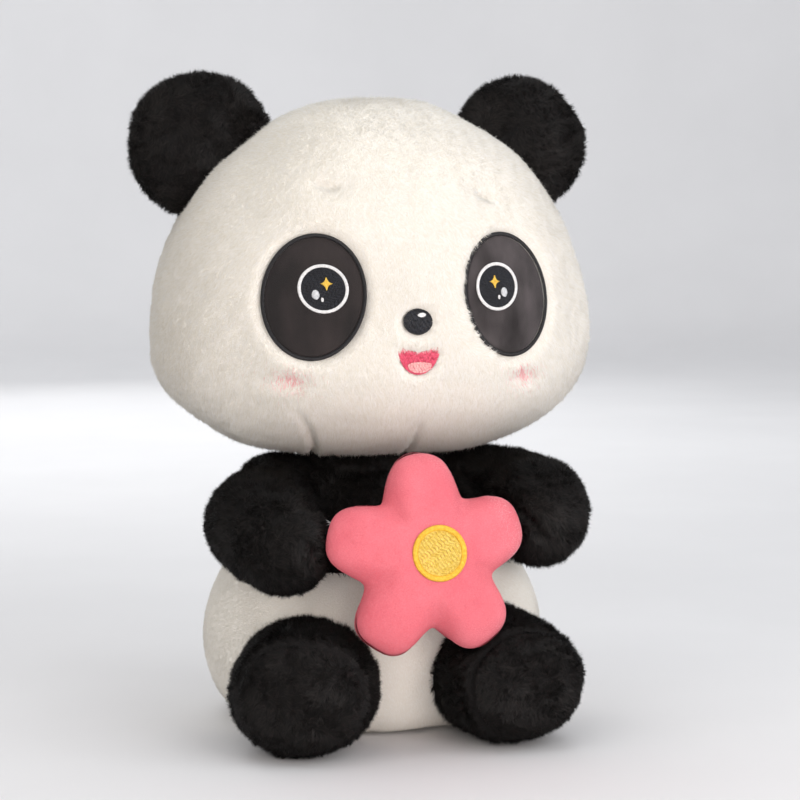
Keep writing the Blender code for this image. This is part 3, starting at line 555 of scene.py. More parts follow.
WHITE_BASE = pile_base("white_pile_base", (0.80, 0.76, 0.69), (0.89, 0.86, 0.80), 0.1)
WHITE_TINTS = strand_tints(
    "white_strand",
    [(0.90, 0.87, 0.80), (0.84, 0.80, 0.71), (0.93, 0.91, 0.87), (0.92, 0.45, 0.47), (0.91, 0.70, 0.66)],
    0.75,
    0.1,
)
BELLY_BASE = pile_base("belly_pile_base", (0.84, 0.80, 0.72), (0.91, 0.88, 0.82), 0.1, 0.0006)
BELLY_TINTS = strand_tints(
    "belly_strand", [(0.92, 0.89, 0.82), (0.89, 0.85, 0.77), (0.95, 0.93, 0.88)], 0.8, 0.1
)
BLACK_BASE = pile_base("black_pile_base", (0.004, 0.004, 0.004), (0.012, 0.010, 0.010), 0.05)
BLACK_TINTS = strand_tints(
    "black_strand", [(0.003, 0.0025, 0.0025), (0.005, 0.0045, 0.004), (0.017, 0.013, 0.012)], 0.5, 0.0, 0.22
)
PINK_BASE = pile_base("flower_pile_base", (0.70, 0.13, 0.17), (0.82, 0.21, 0.25), 0.35, 0.0004)
# Strand tints from deep to pale: the paler ones paint light from the window and sheen at the rim on the
# flower
PINK_TINTS = strand_tints(
    "flower_strand",
    [(0.80, 0.11, 0.14), (0.86, 0.17, 0.20), (0.90, 0.27, 0.31), (0.93, 0.46, 0.49)],
    0.6,
    0.25,
)
# Lighter strokes on the patches are painted sheen: the left patch, which faces the window, gets much brighter
# ones
PATCH_VELOURS_PAINTED_SHEEN = {
    "right": velour("patch_velour_right", (0.010, 0.008, 0.008), (0.034, 0.026, 0.025)),
    "left": velour("patch_velour_left", (0.010, 0.008, 0.008), (0.100, 0.086, 0.088)),
}
BLACK_THREAD = thread_paint("black_embroidery", (0.004, 0.004, 0.005), (0.014, 0.013, 0.016))
NAVY_THREADS = [
    thread_paint("navy_embroidery", (0.003, 0.003, 0.006), (0.006, 0.007, 0.012)),
    thread_paint("slate_embroidery", (0.005, 0.006, 0.010), (0.012, 0.015, 0.024)),
]
WHITE_THREAD = thread_paint("white_embroidery", (0.70, 0.70, 0.70), (0.88, 0.88, 0.88), 0.5)
GREY_THREAD = thread_paint("pale_grey_embroidery", (0.50, 0.52, 0.54), (0.74, 0.75, 0.77), 0.5)
YELLOW_THREAD = thread_paint("yellow_embroidery", (0.72, 0.42, 0.04), (0.90, 0.66, 0.12))
DISC_THREADS = [
    thread_paint("disc_embroidery", (0.70, 0.46, 0.05), (0.84, 0.61, 0.12), 0.45),
    thread_paint("disc_light_embroidery", (0.76, 0.53, 0.09), (0.90, 0.70, 0.19), 0.45),
]
GOLD_THREAD = thread_paint("gold_embroidery", (0.78, 0.42, 0.02), (0.93, 0.60, 0.06), 0.4)
CRIMSON_THREAD = thread_paint("crimson_embroidery", (0.62, 0.05, 0.11), (0.85, 0.12, 0.21))
TONGUE_THREADS = [
    thread_paint("tongue_embroidery", (0.80, 0.30, 0.32), (0.90, 0.45, 0.45)),
    thread_paint("tongue_light_embroidery", (0.86, 0.42, 0.42), (0.93, 0.58, 0.56)),
]
SEAT_CLOTH = woven("seat_weave", (0.66, 0.63, 0.58), (0.82, 0.79, 0.74))

# What each kind of fur is made of
WHITE_FUR = dict(base=WHITE_BASE, pile=LONG_WHITE, tints=WHITE_TINTS, slot="white_fur")
BELLY_FUR = dict(base=BELLY_BASE, pile=SHORT_WHITE, tints=BELLY_TINTS, slot="white_short_pile")
BLACK_FUR = dict(base=BLACK_BASE, pile=LONG_BLACK, tints=BLACK_TINTS, slot="black_fur")
PINK_VELVET = dict(base=PINK_BASE, pile=VELVET, tints=PINK_TINTS, slot="flower_velvet")


# Face places -------------------------------------------------------------------


def face_points(x, z, lift):
    """Points on the front of the head's backing at x and z, lifted off it, and the normals there."""
    x, z = np.broadcast_arrays(np.asarray(x, float), np.asarray(z, float))
    rise = z - HEAD_LEVEL
    up = np.clip(rise / HEAD_RISE, 0, 1)
    down = np.clip(-rise / HEAD_DROP, 0, 1)
    level = np.where(rise >= 0, np.sqrt(1 - up**2), (1 - down**HEAD_SQUARENESS) ** (1 / HEAD_SQUARENESS))
    below = -(down ** (HEAD_SQUARENESS - 1)) * level ** (2 - HEAD_SQUARENESS) / HEAD_DROP
    slope = np.where(rise >= 0, rise / HEAD_RISE**2, below)
    y = -HEAD_HALF[1] * np.sqrt(np.maximum(level**2 - (x / HEAD_HALF[0]) ** 2, 0))
    normals = unit(np.stack([x / HEAD_HALF[0] ** 2, y / HEAD_HALF[1] ** 2, slope], axis=-1))
    return np.stack([x, y, z], axis=-1) + np.asarray(lift)[..., None] * normals, normals


def beyond_ellipse(x, z, centre, half, lean=0.0):
    """How far (x, z) is outside an ellipse whose top leans towards +X, roughly, in metres."""
    across, up = x - centre[0], z - centre[1]
    own_x = across * cos(lean) - up * sin(lean)
    own_z = across * sin(lean) + up * cos(lean)
    return (np.sqrt((own_x / half[0]) ** 2 + (own_z / half[1]) ** 2) - 1) * min(half)


def beyond_features(points):
    """How far each point of the head is from the nearest patch, nose or mouth."""
    x, y, z = points.T
    found = np.full(len(points), 1.0)
    for side, _ in SIDES:
        found = np.minimum(found, beyond_ellipse(x, z, PATCH_CENTRES[side], PATCH_HALF, -side * PATCH_LEAN))
    found = np.minimum(found, beyond_ellipse(x, z, NOSE_CENTRE, NOSE_HALF))
    across, up = x - MOUTH_CENTRE[0], z - MOUTH_CENTRE[1]
    near_mouth = np.hypot(across / 1.6, up) < 0.012
    found = np.minimum(found, np.where(near_mouth, -mouth_gap(across, up), 1.0))
    return np.where(y < 0, found, 1.0)


# Head --------------------------------------------------------------------------


def dent(points, centre, reach, depth):
    """How far a soft dent pushes in each point."""
    apart = ((points - np.array(centre)) / np.array(reach)) ** 2
    return depth * np.exp(-apart.sum(1))


def crease(points, start, end, width, depth):
    """How far a crease on the front, between two (x, z) places, pushes in each point. It starts shallow."""
    start, end = np.array(start), np.array(end)
    run = end - start
    flat = points[:, [0, 2]] - start
    share = np.clip((flat @ run) / (run @ run), 0, 1)
    apart = np.linalg.norm(flat - share[:, None] * run, axis=1)
    return depth * ease(0, 0.6, share) * np.exp(-((apart / width) ** 2)) * (points[:, 1] < 0)


def head_dents(points):
    """How far the stitches, the chin seam, the dart and the panel seams push in each point of the head."""
    x, y = points[:, 0], points[:, 1]
    total = sum(dent(points, *row) for row in HEAD_DENTS)
    total += sum(crease(points, *row) for row in HEAD_CREASES)
    total += HEAD_SEAM_DEPTH * np.exp(-((y / HEAD_SEAM_WIDTH) ** 2))
    total += HEAD_SEAM_DEPTH * np.exp(-((x / HEAD_SEAM_WIDTH) ** 2)) * ease(0.0, 0.02, y)
    return total


def head_backing():
    """The head's backing as a dense closed surface. Every quarter turn is a grid line."""
    columns, rows = 288, 161
    polar = np.linspace(0, pi, rows)[:, None]
    turn = 2 * pi * np.arange(columns)[None] / columns
    x, y = np.sin(polar) * np.cos(turn), np.sin(polar) * np.sin(turn)
    z = np.broadcast_to(np.cos(polar), x.shape)
    bulge = 2 / HEAD_SQUARENESS
    flat = np.sqrt(x**2 + y**2)
    spread = np.where(z < 0, np.maximum(flat, 1e-9) ** (bulge - 1), 1.0)
    height = np.where(z < 0, -HEAD_DROP * np.abs(z) ** bulge, HEAD_RISE * z)
    points = np.stack([HEAD_HALF[0] * x * spread, HEAD_HALF[1] * y * spread, HEAD_LEVEL + height], axis=2)
    quads = sheet_of(rows, columns, True)[:, ::-1]
    return Shell(points.reshape(-1, 3), quads)


def head_shell():
    """The dense base of the head's pile, sunk under the embroidery and drawn in at stitches and seams."""
    backing = head_backing()
    apart = beyond_features(backing.points)
    dents = head_dents(backing.points)
    x, y, z = backing.points.T
    patch_x, patch_z = PATCH_CENTRES[1]
    ragged = (x > 0.02) & (x < patch_x - 0.012) & (np.abs(z - patch_z) < 0.055) & (y < 0)
    bank = ease(-0.0005, np.where(ragged, 0.0012, 0.0050), apart)
    lift = HEAD_BASE * bank - 0.0008 * (1 - ease(-0.0030, 0.0, apart))
    lumps = waves(backing.points, 11, 0.075)[:, 0] * 0.0008
    made = backing.moved(lift + lumps - dents * ease(0.0, 0.004, apart))
    fringe = np.exp(-(((x - MOUTH_CENTRE[0]) / 0.014) ** 2) - ((z - 0.3000) / 0.0045) ** 2)
    chin = 0.35 * ease(0.245, 0.225, z)
    sunk = np.clip(dents / 0.008, 0, 1)
    short = 0.45 * (1 - ease(0.0, 0.0075, apart)) * ~ragged
    growth = (1.0 - short + 0.6 * fringe + chin) * (1 - 0.5 * sunk)
    made.growth = np.where(apart < 0.0002, 0.0, growth)
    return made


def head_comb(points, normals):
    """The head's pile lies down and away from the embroidery."""
    down = along_surface(np.array([0.0, 0.0, -1.0]), normals)
    away = np.zeros_like(points)
    for side, _ in SIDES:
        middle = PATCH_CENTRES[side]
        gap = points - np.array([middle[0], -0.105, middle[1]])
        apart = beyond_ellipse(points[:, 0], points[:, 2], middle, PATCH_HALF)
        ragged = (side > 0) & (gap[:, 0] < -0.012)
        way = np.where(ragged, -0.9, 1.0) * np.exp(-np.maximum(apart, 0) / 0.008) * (points[:, 1] < 0)
        away += unit(gap) * way[:, None]
    swirl = along_surface(waves(points, 5, 0.09), normals)
    return 0.8 * unit(down) + along_surface(away, normals) + 0.16 * swirl


def blush(points, draw):
    """White tints, pink where the cheeks are sprayed and paler pink round that."""
    picked = draw.integers(0, 3, len(points))
    x, y, z = points.T
    beside = np.abs(x) - CHEEK_BLUSH[0]
    near = np.exp(-((beside / 0.0082) ** 2) - ((z - CHEEK_BLUSH[1]) / 0.0045) ** 2) * (y < 0)
    wide = np.exp(-((beside / 0.0130) ** 2) - ((z - CHEEK_BLUSH[1] + 0.0005) / 0.0085) ** 2) * (y < 0)
    chance = draw.random(len(points))
    picked = np.where(chance < 0.55 * wide, 4, picked)
    return np.where(chance < 0.8 * near, 3, picked)


def add_head():
    """Four panels of long white pile."""
    shell = head_shell()
    middle = shell.points[shell.quads].mean(1)
    for row, (name, front) in enumerate((("face", -1), ("head_back", 1))):
        for side, word in SIDES:
            part = shell.part((middle[:, 0] * side > 0) & (middle[:, 1] * front > 0))
            filling = ("head_stuffing",) if front < 0 and side < 0 else ()
            stands_for = (f"{name}_panel_{word}", *filling)
            seed = 100 + 10 * row + side
            add_fur(name, f"_{word}", part, WHITE_FUR, "head", stands_for, seed, head_comb, blush)


# Embroidery --------------------------------------------------------------------


def ellipse_rim(half, turn, lean=0.0):
    """Points of an ellipse whose top leans towards +X."""
    x, z = half[0] * np.cos(turn), half[1] * np.sin(turn)
    return x * cos(lean) + z * sin(lean), z * cos(lean) - x * sin(lean)


def satin_ring(surface, inner, outer, lean, height, spacing):
    """Threads laid across a ring from its inner to its outer ellipse, arched off the surface."""
    around = pi * (outer[0] + outer[1])
    count = int(around / spacing)
    turn = 2 * pi * np.arange(count) / count
    inner_x, inner_z = ellipse_rim(inner, turn, lean)
    outer_x, outer_z = ellipse_rim(outer, turn + 0.35 * 2 * pi / count, lean)
    lines = []
    for share in (0, 0.15, 0.4, 0.6, 0.85, 1):
        lift = height * sqrt(max(0.0, 1 - (2 * share - 1) ** 2))
        x, z = inner_x + share * (outer_x - inner_x), inner_z + share * (outer_z - inner_z)
        points, normals = surface(x, z, np.full(count, lift))
        lines.append(points)
    return np.stack(lines, axis=1), normals


def filled(surface, inside, reach, spacing, run, height, slant=0.0, seed=1):
    """Rows of short stitches that fill the outline inside(x, z) > 0, on a surface."""
    draw = np.random.default_rng(seed)
    lines, ups = [], []
    rows = int(2 * reach / spacing)
    for row in range(rows):
        across = -reach + (row + 0.5) * spacing
        along = np.arange(-reach, reach, spacing / 3)
        x = along * cos(slant) - across * sin(slant)
        z = along * sin(slant) + across * cos(slant)
        kept = inside(x, z) > 0
        if kept.sum() < 4:
            continue
        places = along[kept]
        breaks = np.nonzero(np.diff(places) > spacing)[0]
        for piece in np.split(places, breaks + 1):
            start, end = piece[0], piece[-1]
            if end - start < spacing:
                continue
            joints = np.arange(start - draw.uniform(0, run), end, run)
            joints = np.concatenate([[start], joints[joints > start + 0.2 * run], [end]])
            for low, high in zip(joints, joints[1:]):
                steps = low + (high - low) * np.array([0, 0.18, 0.5, 0.82, 1])
                arch = height * np.array([0.0, 0.8, 1.0, 0.8, 0.0])
                px = steps * cos(slant) - across * sin(slant)
                pz = steps * sin(slant) + across * cos(slant)
                points, normals = surface(px, pz, arch)
                lines.append(points)
                ups.append(normals[2])
    return np.array(lines), np.array(ups)


def on_face(centre, level, dome=None):
    """A surface function at a level over the face, round a centre."""

    def place(x, z, lift):
        extra = 0.0 if dome is None else dome(x, z)
        return face_points(centre[0] + x, centre[1] + z, level + extra + lift)

    return place


def pad_shell(surface, half, lean):
    """A puffed oval pad on a surface, whose rim turns down."""
    rows, columns, edge = 26, 120, 0.0010
    shares = np.sin(np.linspace(0, pi / 2, rows))
    turn = 2 * pi * np.arange(columns) / columns
    x, z = ellipse_rim(half, turn, lean)
    points = []
    for share in shares:
        lift = np.full(columns, -edge * max(0.0, (share - 0.97) / 0.03))
        points.append(surface(share * x, share * z, lift)[0])
    quads = sheet_of(rows, columns, True)
    return Shell(np.concatenate(points), quads[:, ::-1])


def mouth_gap(x, z):
    """Above 0 inside the open smile."""
    across = np.clip(np.abs(x) / MOUTH_HALF_WIDTH, 0, 1)
    top = MOUTH_TOP + (MOUTH_CORNER - MOUTH_TOP) * across**1.5
    bottom = MOUTH_CORNER - (MOUTH_CORNER + MOUTH_DEPTH) * np.sqrt(1 - across**2)
    return np.minimum(top - z, z - bottom)


def in_ellipse(half):
    """A function that is above 0 inside an ellipse."""
    return lambda x, z: 1 - (x / half[0]) ** 2 - (z / half[1]) ** 2


def in_star(x, z):
    """Above 0 inside a four-point star."""
    return 1 - np.sqrt(np.abs(x) / STAR_HALF[0]) - np.sqrt(np.abs(z) / STAR_HALF[1]) + 0.12


def in_tongue(x, z):
    """Above 0 inside the tongue, which is flatter above than below."""
    up = z - 0.5 * TONGUE_HALF[1]
    reach = np.where(up > 0, 0.5, 1.2) * TONGUE_HALF[1]
    return 1 - (x / TONGUE_HALF[0]) ** 2 - (up / reach) ** 2


def add_stitches(node, ending, threads, radius, paints):
    """Threads on the head that stand for one node."""
    add_threads(f"{node}_stitches{ending}", threads, radius, paints, "head", (node + ending,))


def add_patch(side, word):
    """Velour patch with its satin border."""
    centre = PATCH_CENTRES[side]
    lean = -side * PATCH_LEAN

    def puffed(x, z):
        rim = np.sqrt(beyond_ellipse(x, z, (0, 0), PATCH_HALF, lean) / min(PATCH_HALF) + 1 + 1e-9)
        return 0.0016 * (1 - np.clip(rim, 0, 1) ** 4)

    inner = (PATCH_HALF[0] - PATCH_BORDER, PATCH_HALF[1] - PATCH_BORDER)
    pad = pad_shell(on_face(centre, PATCH_LEVEL, puffed), (inner[0] + 0.0006, inner[1] + 0.0006), lean)
    node = (f"eye_patch_{word}",)
    add_cloth(f"patch_velour_{word}", pad, PATCH_VELOURS_PAINTED_SHEEN[word], "head", node)
    border = satin_ring(on_face(centre, BORDER_LEVEL), inner, PATCH_HALF, lean, *PATCH_SATIN)
    node = (f"patch_stitching_{word}",)
    add_threads(f"patch_border_{word}", border, BORDER_YARN, [BLACK_THREAD], "head", node)


def add_eye(side, word):
    """Stitched iris with its ring, star and glints."""
    x, z = side * EYE_CENTRE[0], EYE_CENTRE[1]
    ending = f"_{word}"
    disc = in_ellipse((EYE_RADIUS, EYE_RADIUS))
    iris = filled(on_face((x, z), EYE_LEVEL), disc, EYE_RADIUS, *IRIS_ROWS)
    add_stitches("iris", ending, iris, IRIS_YARN, NAVY_THREADS)
    inner, outer = EYE_RADIUS - 0.0002, EYE_RADIUS + EYE_RING
    ring = satin_ring(on_face((x, z), EYE_LEVEL + 0.0001), (inner, inner), (outer, outer), 0.0, *EYE_SATIN)
    add_stitches("iris_ring", ending, ring, IRIS_YARN, [WHITE_THREAD])
    marks = (
        ("eye_star", STAR_OFFSET, in_star, max(STAR_HALF), YELLOW_THREAD, "yellow_thread", 0.0),
        ("eye_glint_large", LARGE_GLINT, in_ellipse(LARGE_HALF), 0.0035, GREY_THREAD, "white_thread", 0.3),
        ("eye_glint_small", SMALL_GLINT, in_ellipse(SMALL_HALF), 0.0018, WHITE_THREAD, "white_thread", -0.4),
    )
    for node, offset, inside, reach, paint, slot, slant in marks:
        face = on_face((x - side * offset[0], z + offset[1]), EYE_LEVEL + 0.0006)
        mark = filled(face, inside, reach, *MARK_ROWS, slant, 4)
        add_stitches(node, ending, mark, MARK_YARN, [paint])


def add_muzzle():
    """Stitched nose with its glint, and the smile with its tongue."""

    def nose_dome(x, z):
        out = np.clip((x / NOSE_HALF[0]) ** 2 + (z / NOSE_HALF[1]) ** 2, 0, 1)
        return 0.0030 * np.sqrt(1 - out)

    nose_face = on_face(NOSE_CENTRE, 0.0016, nose_dome)

    def glint_face(x, z, lift):
        return nose_face(x + NOSE_GLINT[0], z + NOSE_GLINT[1], lift + 0.0006)

    nose = filled(nose_face, in_ellipse(NOSE_HALF), NOSE_HALF[0], *NOSE_ROWS)
    add_stitches("nose", "", nose, MOUTH_YARN, NAVY_THREADS)
    glint = filled(glint_face, in_ellipse((0.0034, 0.0016)), 0.0036, *NOSE_GLINT_ROWS)
    add_stitches("nose_glint", "", glint, MARK_YARN, [WHITE_THREAD])
    mouth = filled(on_face(MOUTH_CENTRE, 0.0024), mouth_gap, MOUTH_HALF_WIDTH, *MOUTH_ROWS)
    add_stitches("mouth", "", mouth, MOUTH_YARN, [CRIMSON_THREAD])
    tongue = filled(on_face(TONGUE_CENTRE, 0.0030), in_tongue, TONGUE_HALF[0], *TONGUE_ROWS)
    add_stitches("tongue", "", tongue, IRIS_YARN, TONGUE_THREADS)


def add_brow_stitch(side, word):
    """The short double thread at the bottom of each brow dent."""
    x, z = side * BROW_STITCH[0], BROW_STITCH[1]
    steps = np.linspace(-BROW_HALF_LENGTH, BROW_HALF_LENGTH, 7)
    lift = HEAD_BASE - 0.0052 + 0.0006 * np.cos(np.linspace(-pi / 2, pi / 2, 7))
    lines, ups = [], []
    for shift in (-0.0003, 0.0003):
        points, normals = face_points(x + steps, z + shift - side * 0.35 * steps, lift)
        lines.append(points)
        ups.append(normals[3])
    node = (f"brow_stitch_{word}",)
    add_threads(f"brow_thread_{word}", (lines, ups), BROW_YARN, [WHITE_THREAD], "head", node)


# Ears --------------------------------------------------------------------------


def inside_head(depth):
    """A test for points deeper than depth inside the head's backing."""

    def test(points):
        x, y, z = points.T
        round_share = (x / (HEAD_HALF[0] - depth)) ** 2 + (y / (HEAD_HALF[1] - depth)) ** 2
        upper = round_share + (np.maximum(z - HEAD_LEVEL, 0) / (HEAD_RISE - depth)) ** 2
        return (upper < 1) & (z > HEAD_LEVEL - HEAD_DROP + depth)

    return test


def ear_comb(points, normals):
    """Ear pile lies a little downward and swirls."""
    swirl = along_surface(waves(points, 21, 0.05), normals)
    return 0.35 * along_surface(np.array([0.0, 0.0, -1.0]), normals) + 0.8 * swirl


def add_ear(side, word):
    """Front and back panels of one ear."""
    turn = np.linspace(-pi / 2, pi / 2, 61)
    radius = (EAR_RADIUS + EAR_SWELL[word]) * np.abs(np.cos(turn)) ** 0.85
    height = (EAR_HALF_THICKNESS + EAR_BASE) * np.sign(np.sin(turn)) * np.abs(np.sin(turn)) ** 0.95
    radius -= 0.0012 * np.exp(-((height / 0.0025) ** 2))
    x, y, z = EAR_CENTRE
    across, up = EAR_SHIFT[word]
    place = Matrix.Translation((side * x + across, y, z + up)) @ Matrix.Rotation(pi / 2, 4, "X")
    shell = turned(np.column_stack([radius, height]), 120).placed(place)
    shell = shell.moved(waves(shell.points, 31 + side, 0.05)[:, 0] * 0.0007)
    middle = shell.points[shell.quads].mean(1)[:, 1] - y
    panels = (
        ("ear_front", "ear_front", shell.part(middle < 0)),
        ("ear_back", "ear_back", shell.part(middle > 0)),
    )
    add_black_panels("ear", side, word, panels, 200, ear_comb, inside_head(0.008))


# Body --------------------------------------------------------------------------


def down_comb(points, normals):
    """Pile that lies downward with slow swirls."""
    swirl = along_surface(waves(points, 41, 0.07), normals)
    return along_surface(np.array([0.0, 0.0, -1.0]), normals) + 0.4 * swirl


def add_body():
    """Belly, yoke and seat."""
    belly = turned(smooth_line(BELLY_LINE, 90), 220, BODY_DEPTH)
    belly = belly.moved(waves(belly.points, 51, 0.08)[:, 0] * 0.0010)
    belly.points[:, 2] = np.maximum(belly.points[:, 2], GROUND)
    add_fur("belly", "", belly, BELLY_FUR, "torso", ("belly_cover", "body_stuffing"), 300, down_comb)
    yoke = turned(smooth_line(YOKE_LINE, 50), 180, BODY_DEPTH)
    yoke = yoke.moved(waves(yoke.points, 52, 0.07)[:, 0] * 0.0010)
    add_fur("yoke", "", yoke, BLACK_FUR, "torso", ("yoke_cover",), 310, down_comb)
    seat = turned(SEAT_LINE, 120, BODY_DEPTH)
    add_cloth("seat_cloth", seat, SEAT_CLOTH, "torso", ("seat_panel",))


def add_neck():
    """A soft roll of black pile hides the gathered neck, and a ball of filling turns inside it."""
    turn = np.linspace(0, 2 * pi, 25)
    roll_radius = NECK_ROLL_MIDDLE[0] + NECK_ROLL_HALF[0] * np.cos(turn)
    roll_height = NECK_ROLL_MIDDLE[1] + NECK_ROLL_HALF[1] * np.sin(turn)
    roll = turned(np.column_stack([roll_radius, roll_height]), 120, 0.95)
    add_fur("neck_roll", "", roll, BLACK_FUR, "torso", ("neck_seam_thread",), 320, down_comb)
    polar = np.linspace(-pi / 2, pi / 2, 31)
    ball_height = NECK_BALL_HEIGHT + NECK_BALL_RADIUS * np.sin(polar)
    ball = turned(np.column_stack([NECK_BALL_RADIUS * np.cos(polar), ball_height]), 64)
    ball = ball.moved(waves(ball.points, 53, 0.02)[:, 0] * 0.0006)
    add_cloth("neck_filling", ball, WHITE_BASE, "neck", ("neck_stuffing",))


def inside_body(depth):
    """A test for points deeper than depth inside the body."""
    line = np.array(BELLY_LINE + YOKE_LINE[1:])

    def test(points):
        radius = np.interp(points[:, 2], line[:, 1], line[:, 0], left=0, right=0)
        return np.hypot(points[:, 0], points[:, 1] / BODY_DEPTH) < radius - depth

    return test


# Legs --------------------------------------------------------------------------


def limb_comb(points, normals):
    """Limb pile lies down and swirls in tufts."""
    swirl = along_surface(waves(points, 61, 0.045), normals)
    return 0.45 * along_surface(np.array([0.0, 0.0, -1.0]), normals) + 0.7 * swirl


def leg_line():
    """Section of a leg from the root ball to the middle of its sole, as (radius, distance)."""
    root = LEG_RADIUS + LEG_BASE
    ball = [(root * cos(turn), -root * sin(turn)) for turn in np.linspace(pi / 2, 0.12, 14)]
    return ball + [(root + swell, place) for swell, place in LEG_TUBE] + list(SOLE_MIDDLE)


def add_leg(side, word):
    """Tube and sole of one leg."""
    x, y, z = HIP
    yaw = side * LEG_YAW[word]
    line = smooth_line(leg_line(), 190)
    shell = turned(line, LEG_COLUMNS)
    along = shell.points[:, 2]
    off_axis = np.hypot(shell.points[:, 0], shell.points[:, 1])
    shell.growth = 1 - 0.92 * np.exp(-(((along - SOLE_SEAM_PLACE) / 0.0060) ** 2)) * (off_axis > 0.028)
    seam_radius = LEG_RADIUS + LEG_BASE - SOLE_SEAM_DEPTH
    seam_row = np.argmin(np.hypot(line[:, 0] - seam_radius, line[:, 1] - SOLE_SEAM_PLACE))
    place = Matrix.Translation((side * x, y, z)) @ Matrix.Rotation(yaw, 4, "Z")
    shell = shell.placed(place @ Matrix.Rotation(pi / 2, 4, "X"))
    shell = shell.moved(waves(shell.points, 71 + side, 0.06)[:, 0] * 0.0009)
    across = np.array([cos(yaw), sin(yaw), 0])
    spread = (shell.points - [side * x, y, 0]) @ across
    shell.points += LEG_SPREAD * ease(-0.05, -0.12, shell.points[:, 1])[:, None] * spread[:, None] * across
    shell.points[:, 2] -= LEG_SETTLE * ease(0.045, 0.100, shell.points[:, 2])
    shell.points[:, 2] = np.maximum(shell.points[:, 2], GROUND)
    is_sole = shell.quads.min(1) // LEG_COLUMNS > seam_row
    panels = (("leg", "leg_cover", shell.part(~is_sole)), ("sole", "sole_panel", shell.part(is_sole)))
    add_black_panels("leg", side, word, panels, 400, limb_comb, inside_body(BURIED))


# Arms --------------------------------------------------------------------------


def arm_points(side, word, share):
    """Points of an arm's middle line, raised about the shoulder axis on the left."""
    corners = np.array(ARM_PATH) * [side, 1, 1]
    share = np.asarray(share)[:, None]
    rest = 1 - share
    weights = (rest**3, 3 * rest**2 * share, 3 * rest * share**2, share**3)
    points = sum(weight * corner for weight, corner in zip(weights, corners)) - SHOULDER
    lift = -ARM_RAISE[word]
    turn = np.array([[1, 0, 0], [0, cos(lift), -sin(lift)], [0, sin(lift), cos(lift)]])
    return points @ turn.T + SHOULDER


def arm_rings(length):
    """Places along an arm, and the radius and the strength of the paw's seam at each."""
    radius = ARM_RADIUS + ARM_BASE
    reach = length + 2 * ARM_BASE
    cap = radius * (1 - np.cos(np.linspace(0, pi / 2, 18)))
    along = np.concatenate([cap, np.linspace(radius, reach - radius, 70)[1:-1], reach - cap[::-1]])
    beyond = np.maximum(0, np.maximum(radius - along, along - (reach - radius)))
    share = (along - ARM_BASE) / length
    seam = np.exp(-(((share - PAW_SHARE) * length / PAW_SEAM_WIDTH) ** 2))
    swell = PAW_SWELL * np.exp(-(((share - 0.90) / 0.12) ** 2)) * (beyond < radius * 0.95)
    return share, np.sqrt(np.maximum(radius**2 - beyond**2, 0)) + swell - PAW_SEAM_DEPTH * seam, seam


def add_arm(side, word):
    """Sleeve and paw of one arm."""
    path = arm_points(side, word, np.linspace(0, 1, 41))
    share, rings, seam = arm_rings(np.linalg.norm(np.diff(path, axis=0), axis=1).sum())
    centres = arm_points(side, word, share)
    ahead = unit(arm_points(side, word, share + 0.01) - arm_points(side, word, share - 0.01))
    beside = unit(np.cross(ahead, [0, 0, 1]))
    above = np.cross(beside, ahead)
    turn = 2 * pi * np.arange(ARM_COLUMNS) / ARM_COLUMNS
    ring = beside[:, None] * np.cos(turn)[None, :, None] + above[:, None] * np.sin(turn)[None, :, None]
    points = centres[:, None] + rings[:, None, None] * ring
    shell = Shell(points.reshape(-1, 3), sheet_of(len(share), ARM_COLUMNS, True)[:, ::-1])
    shell.growth = np.repeat(1 - 0.4 * seam, ARM_COLUMNS)
    fold = sum(crease(shell.points, *line, *ARM_FOLD) for line in ARM_FOLDS[word])
    shell = shell.moved(waves(shell.points, 81 + side, 0.06)[:, 0] * 0.0010 - fold)
    is_paw = share[shell.quads.min(1) // ARM_COLUMNS] >= PAW_SHARE
    panels = (("sleeve", "arm_cover", shell.part(~is_paw)), ("paw", "paw_panel", shell.part(is_paw)))
    add_black_panels("arm", side, word, panels, 500, limb_comb, inside_body(BURIED))


def add_paw_thread(side, word):
    """Loops of white thread that tack a petal to the paw."""
    x, y, z = np.array(PAW_STITCH) * [side, 1, 1]
    steps = np.linspace(0, 1, 9)
    lines = []
    for index in range(3):
        across = x - side * 0.0050 * (steps - 0.5) * 2
        out = y - 0.0022 * np.sin(pi * steps)
        up = z + 0.0018 * (index - 1) + 0.0012 * np.sin(2 * pi * steps + index)
        lines.append(np.column_stack([across, out, up]))
    threads = (lines, [[0, -1, 0]] * 3)
    body, stands_for = f"arm_{word}", (f"paw_stitch_{word}",)
    add_threads(f"paw_thread_{word}", threads, MARK_YARN, [WHITE_THREAD], body, stands_for)


# Flower ------------------------------------------------------------------------


def petal_wave(turn):
    """1 in the middle of each petal and 0 between petals."""
    return 0.5 + 0.5 * np.cos(PETALS * (turn - FIRST_PETAL))


def petal_reach(turn):
    """Distance from the flower's middle to its rim."""
    full = 1 - (1 - petal_wave(turn)) ** PETAL_FULLNESS
    return PETAL_VALLEY + (PETAL_TIP - PETAL_VALLEY) * full + FLOWER_BASE


def flower_height(x, z):
    """Half thickness of the flower at a place in its own plane. Petals part only near the rim."""
    turn, reach = np.arctan2(z, x), np.hypot(x, z)
    rim = petal_reach(turn)
    mean_rim = (PETAL_TIP + PETAL_VALLEY) / 2
    own = ease(0.35, 1.0, reach / rim)
    out = np.minimum(1, reach / (mean_rim + own * (rim - mean_rim)))
    dimple = FLOWER_DIMPLE * np.maximum(0, 1 - out / 0.5) ** 2
    channel = PETAL_CHANNEL * (1 - petal_wave(turn)) ** 2 * ease(0.4, 0.9, out)
    return (FLOWER_HALF_THICKNESS + FLOWER_BASE) * (1 - out**2.6) ** 0.55 - dimple - channel * (1 - out**8)


def flower_frame():
    """From the flower's own plane, facing -Y, to its place in the paws."""
    return np.array(Matrix.Translation(FLOWER_CENTRE) @ Matrix.Rotation(-FLOWER_TILT, 4, "X"))


